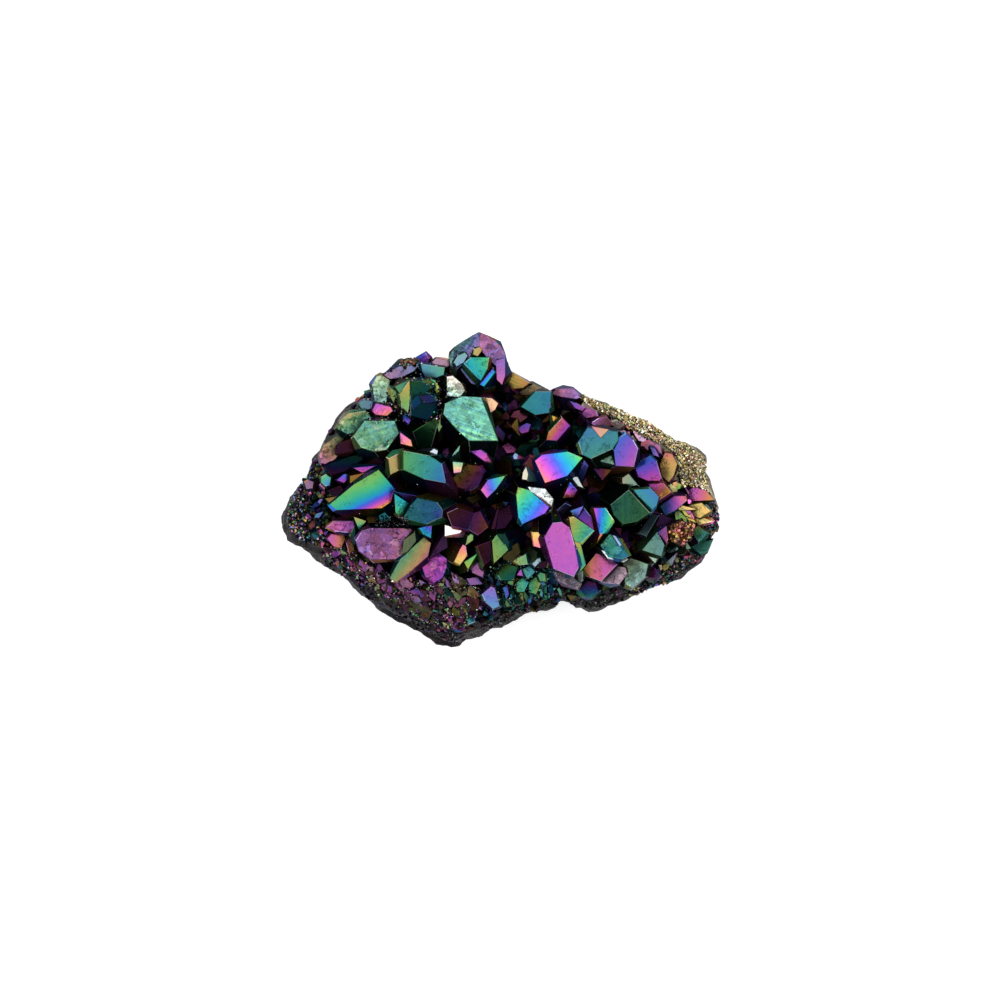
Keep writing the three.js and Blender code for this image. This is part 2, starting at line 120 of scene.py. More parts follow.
def makeSky():
    world = bpy.data.worlds.new("studioSky")
    bpy.context.scene.world = world
    world.use_nodes = True
    nodes, links = world.node_tree.nodes, world.node_tree.links
    coords = nodes.new("ShaderNodeTexCoord")
    split = nodes.new("ShaderNodeSeparateXYZ")
    lift = nodes.new("ShaderNodeMapRange")
    lift.interpolation_type = "SMOOTHSTEP"
    lift.inputs["From Max"].default_value = studio["skyRise"]
    lift.inputs["To Min"].default_value = studio["skyLow"]
    lift.inputs["To Max"].default_value = studio["skyHigh"]
    links.new(coords.outputs["Generated"], split.inputs["Vector"])
    links.new(split.outputs["Z"], lift.inputs["Value"])
    links.new(lift.outputs["Result"], nodes["Background"].inputs["Strength"])
    nodes["Background"].inputs["Color"].default_value = (1, 1, 1, 1)


def makeSoftboxes():
    for i, (x, y, z, size, power) in enumerate(studio["softboxes"]):
        data = bpy.data.lights.new(f"softbox{i}", "AREA")
        data.shape = "SQUARE"
        data.size = size
        data.energy = power
        light = bpy.data.objects.new(f"softbox{i}", data)
        light.location = (x, y, z)
        light.rotation_euler = Vector((-x, -y, -z)).to_track_quat("-Z", "Y").to_euler()
        bpy.context.scene.collection.objects.link(light)


def makeFloor():
    bm = bmesh.new()
    bmesh.ops.create_grid(bm, x_segments=1, y_segments=1, size=studio["floorSize"] / 2)
    floor = meshObject("floor", bm)
    material = bpy.data.materials.new("palePaper")
    material.use_nodes = True
    shader = material.node_tree.nodes["Principled BSDF"]
    shader.inputs["Base Color"].default_value = studio["floorColour"]
    shader.inputs["Roughness"].default_value = studio["floorRoughness"]
    shader.inputs["Emission Color"].default_value = (1, 1, 1, 1)
    shader.inputs["Emission Strength"].default_value = studio["floorGlow"]
    floor.data.materials.append(material)


# Materials

coatLook = {
    # place along the film, then red, green and blue from 0 to 255, for one round of interference colours
    "film": [
        (0.0, 240, 186, 84), (0.06, 246, 156, 92), (0.115, 244, 126, 128), (0.175, 236, 106, 178),
        (0.26, 196, 88, 204), (0.34, 138, 88, 222), (0.42, 74, 104, 228), (0.5, 48, 150, 222),
        (0.58, 44, 172, 190), (0.66, 62, 186, 160), (0.74, 92, 198, 126), (0.82, 142, 196, 96),
        (0.9, 196, 190, 90), (1.0, 240, 186, 84),
    ],
    "paleColour": (0.78, 0.8, 0.82, 1), "metal": 0.82, "edgeTint": (0.35, 0.36, 0.4, 1), "sheen": 0.3,
    # scale and detail of each noise
    "driftNoise": (260, 2), "grainNoise": (2600, 3), "warpNoise": (1100, 4), "lineNoise": (2600, 3),
    "veinNoise": (1300, 2), "veinPatchNoise": (650, 2), "pitNoise": (5200, 2), "glossNoise": (500, 2),
    "reliefNoise": (1500, 4),
    # Two or four values in brackets: from and to of what is read, then of what it becomes.
    "drift": 0.1, "grain": 0.05, "roughGrain": 0.3,  # slow and fine change of the film over a face
    "lineFilm": 0.28, "lineShade": 1.3, "lineSway": 0.35 * mm,  # growth lines
    # the broken skin of a rough face, its chips with a painted brightness of their own and some with a
    # painted glint
    "warp": 1.2 * mm, "chipScale": 950, "chipRough": (0.25, 0.6), "chipFilm": 0.13, "chipShade": 1.15,
    "chipTilt": 0.35, "paintedGlint": (0.3, 0.5, 0.0, 0.7), "glintShade": 0.6,
    "veinWidth": 0.06, "veinDepth": 0.02 * mm, "veinPatch": (0.5, 0.6), "veinShade": (0.0, 0.5, 0.35, 0.85),
    "pits": (0.3, 0.6, -0.65, 0.08), "roughness": (0.3, 0.7, 0.12, 0.34), "roughMore": 0.25,
    "relief": 0.0072 * mm, "roughRelief": 0.024 * mm,
}


def toLinear(value):
    share = value / 255
    return share / 12.92 if share <= 0.04045 else ((share + 0.055) / 1.055) ** 2.4


# A material and short ways to add its nodes: an input takes a number or another node's output.
class Nodes:
    def __init__(self, name):
        self.material = bpy.data.materials.new(name)
        self.material.use_nodes = True
        self.tree = self.material.node_tree
        self.shader = self.tree.nodes["Principled BSDF"]
        self.coords = self.add("ShaderNodeTexCoord").outputs["Object"]

    def feed(self, socket, value):
        if isinstance(value, bpy.types.NodeSocket):
            self.tree.links.new(value, socket)
        else:
            socket.default_value = value

    def add(self, kind, settings=None, numbered=(), **named):
        node = self.tree.nodes.new(kind)
        for name, value in (settings or {}).items():
            setattr(node, name, value)
        for i, value in enumerate(numbered):
            self.feed(node.inputs[i], value)
        for name, value in named.items():
            self.feed(node.inputs[name], value)
        return node

    def maths(self, operation, *values):
        return self.add("ShaderNodeMath", {"operation": operation}, values).outputs[0]

    def times(self, first, second):
        return self.maths("MULTIPLY", first, second)

    def timesPlus(self, first, second, third):
        return self.maths("MULTIPLY_ADD", first, second, third)

    def minus(self, first, second):
        return self.maths("SUBTRACT", first, second)

    def vectors(self, operation, *values):
        return self.add("ShaderNodeVectorMath", {"operation": operation}, values).outputs

    def scaled(self, vector, factor):
        node = self.add("ShaderNodeVectorMath", {"operation": "SCALE"}, (vector,), Scale=factor)
        return node.outputs[0]

    def split(self, vector):
        return self.add("ShaderNodeSeparateXYZ", Vector=vector).outputs

    def mix(self, share, first, second):
        node = self.add("ShaderNodeMix", {"data_type": "RGBA"})
        for i, value in ((0, share), (6, first), (7, second)):
            self.feed(node.inputs[i], value)
        return node.outputs[2]

    def attribute(self, name):
        return self.add("ShaderNodeAttribute", {"attribute_name": name}).outputs["Fac"]

    def noise(self, coords, scale, detail, output="Fac"):
        return self.add("ShaderNodeTexNoise", Vector=coords, Scale=scale, Detail=detail).outputs[output]

    def range(self, value, low, high, toLow=0.0, toHigh=1.0):
        node = self.add("ShaderNodeMapRange", Value=value)
        for name, number in (("From Min", low), ("From Max", high), ("To Min", toLow), ("To Max", toHigh)):
            node.inputs[name].default_value = number
        return node.outputs["Result"]

    def bump(self, height):
        node = self.add("ShaderNodeBump", Height=height, Strength=1.0, Distance=1.0)
        self.feed(self.shader.inputs["Normal"], node.outputs["Normal"])

    def ramp(self, value, stops):
        node = self.add("ShaderNodeValToRGB", Fac=value)
        elements = node.color_ramp.elements
        while len(elements) < len(stops):
            elements.new(0.5)
        for element, (place, *colour) in zip(elements, stops):
            element.position = place
            element.color = [toLinear(c) for c in colour] + [1]
        return node.outputs["Color"]


# The metal-like film: its colour, its painted light and shade and its paleness come from the mesh's own
# values.
def coatMaterial():
    look, made = coatLook, Nodes("auraCoat")
    coords = made.coords
    film, paintedLight = made.attribute("film"), made.attribute("paintedLight")
    pale, rough = made.attribute("pale"), made.attribute("rough")

    drift = made.noise(coords, *look["driftNoise"])
    film = made.timesPlus(drift, look["drift"], film)
    film = made.minus(film, look["drift"] / 2)
    grain = made.minus(made.noise(coords, *look["grainNoise"]), 0.5)
    reach = made.timesPlus(rough, look["roughGrain"], look["grain"])
    film = made.timesPlus(grain, reach, film)

    # growth lines across a face
    sway = made.noise(coords, *look["warpNoise"], "Color")
    bent = made.vectors("MULTIPLY_ADD", sway, [look["warp"]] * 3, coords)[0]
    lineScale, lineDetail = look["lineNoise"]
    line = made.add(
        "ShaderNodeTexNoise", {"noise_dimensions": "1D"}, Scale=lineScale, Detail=lineDetail,
        W=made.timesPlus(made.split(sway)["X"], look["lineSway"], made.attribute("along")),
    ).outputs["Fac"]
    line = made.times(made.minus(line, 0.5), made.attribute("lines"))
    film = made.timesPlus(line, look["lineFilm"], film)
    shade = made.timesPlus(line, look["lineShade"], 1.0)

    # chips with a film, a painted brightness and a tilt of their own; some get a painted white glint
    chips = made.range(rough, *look["chipRough"])
    cell = made.add(
        "ShaderNodeTexVoronoi", {"distance": "MANHATTAN"}, Vector=bent, Scale=look["chipScale"],
    ).outputs
    own = made.vectors("SUBTRACT", cell["Color"], (0.5, 0.5, 0.5))[0]
    change = made.split(own)
    film = made.timesPlus(made.times(chips, change["X"]), look["chipFilm"], film)
    brighter = made.timesPlus(made.times(chips, change["Y"]), look["chipShade"], 1.0)
    shade = made.times(shade, brighter)
    paintedGlint = made.times(chips, made.range(change["Z"], *look["paintedGlint"]))

    # short dark veins in patches, faint on a smooth face
    vein = made.minus(made.noise(bent, *look["veinNoise"]), 0.5)
    vein = made.range(made.maths("ABSOLUTE", vein), 0.0, look["veinWidth"], 1.0, 0.0)
    where = made.range(made.noise(coords, *look["veinPatchNoise"]), *look["veinPatch"])
    vein = made.times(vein, where)
    darker = made.times(vein, made.range(rough, *look["veinShade"]))
    shade = made.times(shade, made.minus(1.0, darker))

    # painted shade: small dark pits on rough faces
    pits = made.range(made.noise(coords, *look["pitNoise"]), *look["pits"])
    shade = made.times(shade, made.timesPlus(pits, rough, 1.0))
    shade = made.times(shade, made.timesPlus(paintedGlint, look["glintShade"], 1.0))
    # painted light and shade: each face's painted brightness scales its colour, dark where it stands for
    # shade
    shade = made.times(shade, paintedLight)
    colour = made.ramp(made.maths("FRACT", film), look["film"])
    # painted glint: the glinting chips are whitened as well as brightened
    colour = made.mix(made.maths("MAXIMUM", pale, paintedGlint), colour, look["paleColour"])
    made.feed(made.shader.inputs["Base Color"], made.scaled(colour, shade))
    made.shader.inputs["Metallic"].default_value = look["metal"]
    made.shader.inputs["Specular Tint"].default_value = look["edgeTint"]
    made.shader.inputs["Specular IOR Level"].default_value = look["sheen"]

    gloss = made.range(made.noise(coords, *look["glossNoise"]), *look["roughness"])
    made.feed(made.shader.inputs["Roughness"], made.timesPlus(rough, look["roughMore"], gloss))
    relief = made.timesPlus(rough, look["roughRelief"], look["relief"])
    relief = made.times(made.noise(coords, *look["reliefNoise"]), relief)
    away = made.vectors("SUBTRACT", bent, cell["Position"])[0]
    lean = made.times(made.vectors("DOT_PRODUCT", away, own)["Value"], chips)
    height = made.timesPlus(lean, look["chipTilt"], relief)
    made.bump(made.timesPlus(vein, -look["veinDepth"], height))
    return made.material


rockLook = {
    "dark": (0.006, 0.0055, 0.007, 1), "light": (0.04, 0.036, 0.041, 1), "metal": 0.12, "gloss": 0.2,
    "gilt": (0.62, 0.54, 0.36, 1), "giltDark": (0.2, 0.17, 0.11, 1), "paintedSparkle": (0.6, 0.58, 0.62, 1),
    # scale and detail of each noise
    "patchNoise": (210, 5), "grainNoise": (2300, 4), "speckNoise": (6200, 2),
    # Two or four values in brackets: from and to of what is read, then of what it becomes.
    "grains": (0.35, 0.65), "patches": (0.3, 0.7, 0.25, 1.0), "tint": 0.4, "rounds": 2.3,
    "giltPatches": (0.35, 0.6, 0.35, 1.0), "paintedSparkles": (0.64, 0.74, 0.0, 0.25),
    "footShade": (4 * mm, 11 * mm, 0.35, 1.0), "roughness": (0.35, 0.7, 0.8, 0.4),
    "crackScale": 620, "cracks": (0.0, 0.25, 0.0, 0.22 * mm),  # the small broken facets of the rind
    "grainDepth": 0.08 * mm, "speckDepth": 0.04 * mm,
}


# Bare rock under a dull trace of the same film, gilt on one side.
def rockMaterial():
    look, made = rockLook, Nodes("dullRock")
    coords = made.coords
    patch = made.noise(coords, *look["patchNoise"])
    grain = made.range(made.noise(coords, *look["grainNoise"]), *look["grains"])
    speck = made.noise(coords, *look["speckNoise"])
    share = made.times(made.range(patch, *look["patches"]), grain)
    stone = made.mix(share, look["dark"], look["light"])
    film = made.ramp(made.maths("FRACT", made.times(patch, look["rounds"])), coatLook["film"])
    colour = made.mix(look["tint"], stone, made.vectors("MULTIPLY", film, stone)[0])
    gold = made.mix(grain, look["giltDark"], look["gilt"])
    gilt = made.times(made.attribute("gilt"), made.range(patch, *look["giltPatches"]))
    colour = made.mix(gilt, colour, gold)
    # painted sparkles: small pale specks that stand for glints on the rock's grains
    colour = made.mix(made.range(speck, *look["paintedSparkles"]), colour, look["paintedSparkle"])
    shade = made.range(made.split(coords)["Z"], *look["footShade"])
    made.feed(made.shader.inputs["Base Color"], made.scaled(colour, shade))
    made.shader.inputs["Metallic"].default_value = look["metal"]
    made.shader.inputs["Specular IOR Level"].default_value = look["gloss"]
    made.feed(made.shader.inputs["Roughness"], made.range(speck, *look["roughness"]))
    crack = made.add(
        "ShaderNodeTexVoronoi", {"feature": "DISTANCE_TO_EDGE"}, Vector=coords, Scale=look["crackScale"],
    ).outputs["Distance"]
    height = made.timesPlus(grain, look["grainDepth"], made.range(crack, *look["cracks"]))
    made.bump(made.timesPlus(speck, look["speckDepth"], height))
    return made.material


# Rock

rock = {
    "outline": [
        (279, 528), (281, 514), (290, 495), (304, 475), (313, 456), (322, 440), (334, 422), (350, 404),
        (367, 389), (379, 374), (394, 362), (408, 357), (430, 361), (452, 366), (478, 370), (504, 374),
        (531, 385), (551, 390), (574, 391), (595, 400), (624, 409), (653, 422), (670, 435), (694, 447),
        (708, 458), (711, 474), (713, 492), (721, 508), (720, 530), (713, 543), (702, 561), (685, 575),
        (669, 585), (640, 594), (617, 605), (595, 611), (576, 609), (563, 603), (552, 609), (529, 614),
        (506, 624), (481, 636), (464, 643), (452, 648), (437, 645), (413, 634), (393, 623), (369, 602),
        (350, 583), (330, 571), (308, 554), (284, 541),
    ],
    # from the foot's rim up and in to the middle of the top: share of the reach, height in mm
    "profile": [(0.83, 0), (0.95, 2.4), (1, 6.4), (0.98, 8.4), (0.94, 10.1), (0.86, 11.4), (0.02, 10.2)],
    "columns": 288, "step": 0.3 * mm, "innerStep": 1.6 * mm, "inner": 0.5,  # coarse and plain within
    "lumpScale": 260, "lumpOctaves": (1.0, 2.0, 4), "lumps": 0.6 * mm,
    "grainScale": 1400, "grain": 0.16 * mm, "proud": 0.4 * mm,
    "knobs": [(330, 0.55 * mm), (850, 0.22 * mm)],  # scale and depth of the rind's rounded knobs
    # the grooves between the knobs, lower down
    "knobMiddle": 0.55, "craggyBelow": (4.6, 6.8), "grooves": 0.7, "grooveWidth": 0.35,
    "flatBelow": 0.05 * mm, "lowest": 0.02 * mm,
    # a cleft under the lower rim: directions between which it runs, how deep in mm from a height up
    "cleft": {"turns": (229, 252), "ends": 4, "steps": [(7.0, 0.6), (7.3, 1.5), (8.3, 0.5), (10.2, 0.1)]},
    # the side that took a golden coat: directions in degrees, share of the reach
    "gilt": {"turns": (-14, 60), "ends": 8, "from": (0.66, 0.76)},
}


outline = [toModel(corner) for corner in rock["outline"]]


# How far the outline lies from the middle in a direction.
def reachAt(angle):
    ray = levelTowards(angle).xy
    reach = 0
    for start, end in zip(outline, outline[1:] + outline[:1]):
        side = end - start
        across = ray.cross(side)
        if abs(across) > 1e-12 and 0 <= start.cross(ray) / across <= 1:
            reach = max(reach, start.cross(side) / across)
    return reach


perDegree = 2
reachTable = [reachAt(math.radians(i / perDegree)) for i in range(360 * perDegree)]


def reachTowards(x, y):
    turn = (math.degrees(math.atan2(y, x)) % 360) * perDegree
    low, part = int(turn) % len(reachTable), turn % 1
    return reachTable[low] * (1 - part) + reachTable[(low + 1) % len(reachTable)] * part


def reachShare(x, y):
    return math.hypot(x, y) / reachTowards(x, y)


# The drum's rings, closer together on the side than on the top.
def rockRings():
    rings = [rock["profile"][0]]
    for (share, height), (nextShare, nextHeight) in zip(rock["profile"], rock["profile"][1:]):
        span = math.hypot((nextShare - share) * picture["width"] / 2, (nextHeight - height) * mm)
        step = rock["innerStep"] if nextShare < rock["inner"] else rock["step"]
        count = max(1, round(span / step))
        for i in range(1, count + 1):
            part = i / count
            rings.append((share + (nextShare - share) * part, height + (nextHeight - height) * part))
    return rings


# How much of something that runs between two directions is met in one of them.
def between(turns, ends, x, y):
    turn = math.degrees(math.atan2(y, x))
    turn += 360 if turn < turns[0] - ends else 0
    return smoothStep(turns[0] - ends, turns[0] + ends, turn) * (
        1 - smoothStep(turns[1] - ends, turns[1] + ends, turn)
    )


def cleftDepth(height):
    steps = rock["cleft"]["steps"]
    if height < steps[0][0]:
        return 0
    for (low, depth), (high, nextDepth) in zip(steps, steps[1:]):
        if height < high:
            return depth + (nextDepth - depth) * smoothStep(low, high, height)
    return 0


def giltAt(x, y):
    return between(rock["gilt"]["turns"], rock["gilt"]["ends"], x, y)


# How far the rind stands out: lumps, grain, rounded knobs and the grooves between them.
def lumpAt(place):
    lump = noise.fractal(place * rock["lumpScale"], *rock["lumpOctaves"]) * rock["lumps"]
    lump += noise.noise(place * rock["grainScale"]) * rock["grain"]
    grooved = rock["grooves"] * (1 - smoothStep(*rock["craggyBelow"], place.z / mm))
    for scale, depth in rock["knobs"]:
        nearest, second = noise.voronoi(place * scale)[0][:2]
        lump += (rock["knobMiddle"] - nearest) * depth
        lump -= grooved * depth * (1 - smoothStep(0, rock["grooveWidth"], second - nearest))
    return lump


def makeRock(material):
    bm = bmesh.new()
    gilt = bm.verts.layers.float.new("gilt")
    ring = bmesh.ops.create_circle(bm, cap_ends=True, segments=rock["columns"], radius=1)["verts"]
    edges = bm.edges[:]
    for i, (share, height) in enumerate(rockRings()):
        if i:
            made = bmesh.ops.extrude_edge_only(bm, edges=edges)["geom"]
            edges = [g for g in made if isinstance(g, bmesh.types.BMEdge) and g.is_boundary]
            ring = eachOnce(v for e in edges for v in e.verts)
        for v in ring:
            away = v.co.xy.normalized()
            place = away * reachTowards(away.x, away.y) * share
            if share > rock["inner"]:
                cleft = between(rock["cleft"]["turns"], rock["cleft"]["ends"], away.x, away.y)
                place -= away * cleft * cleftDepth(height) * mm
            v.co = Vector((place.x, place.y, height * mm))
            v[gilt] = giltAt(away.x, away.y) * smoothStep(*rock["gilt"]["from"], share)
    bmesh.ops.contextual_create(bm, geom=edges)
    bmesh.ops.recalc_face_normals(bm, faces=bm.faces[:])
    bm.normal_update()
    for v in bm.verts:
        if v.co.z >= rock["flatBelow"]:
            v.co += v.normal * min(lumpAt(v.co), rock["proud"])
            v.co.z = max(v.co.z, rock["lowest"])
    for face in bm.faces:
        face.smooth = True
    piece = meshObject("rock", bm)
    piece.data.materials.append(material)
    return piece


# The large crystals

crystals = {
    "toAxis": math.radians(51.8),  # between an end face's normal and the crystal's long axis
    # direction from the tip, turn of the next face
    "turns": [(0, 96), (43, 86), (70, 46), (110, 67), (180, 38)],
    "seed": 11, "block": 44 * mm,
    "root": 8.4 * mm, "shortest": 3 * mm, "footReach": 0.84, "upright": (0.6, 0.92),  # where it stands
    # broken edges: width of the flat, and how sharp, how long and how far above the root at least
    "bevel": 0.05 * mm, "sharp": math.radians(15), "smallestEdge": 0.3 * mm, "aboveRoot": 1 * mm,
    # an uneven face: size of its triangles, rounds of splitting, scale and share of each wave
    "step": 0.5 * mm, "splits": 4, "waves": [(900, 1), (2300, 0.6)], "relief": 0.01,
    "rough": 0.03, "creases": math.radians(14),
    # how far the film and the painted light and shade of the sides depart from those of the end face; steep
    # sides get painted shade
    "sideShift": 0.25, "sideFall": 130, "filmEnd": 1.2, "prismLines": 0.3,
    "sidePaintedLight": (0.13, 0.2, 0.3, 0.48, 0.85), "steepPaintedLight": 0.4, "facingUp": (0.1, 0.9), "leastPaintedLight": 0.3,
    "sidePale": 0.5, "sideRough": 0.5,
    # painted shade: the painted light fades down to this depth, leaving a share at the foot and more painted
    # light at the rim
    "deep": 6.5 * mm, "floorGlow": 0.35, "rimPaintedLight": 0.4, "rim": (0.6, 0.95),
    # painted highlights: a share of the broken edges get bright, pale painted light, the others less
    "edgeShift": 0.06, "highlightedEdges": 0.3, "edgePaintedLight": (0.45, 1.1), "edgeHighlightPale": 0.5,
}
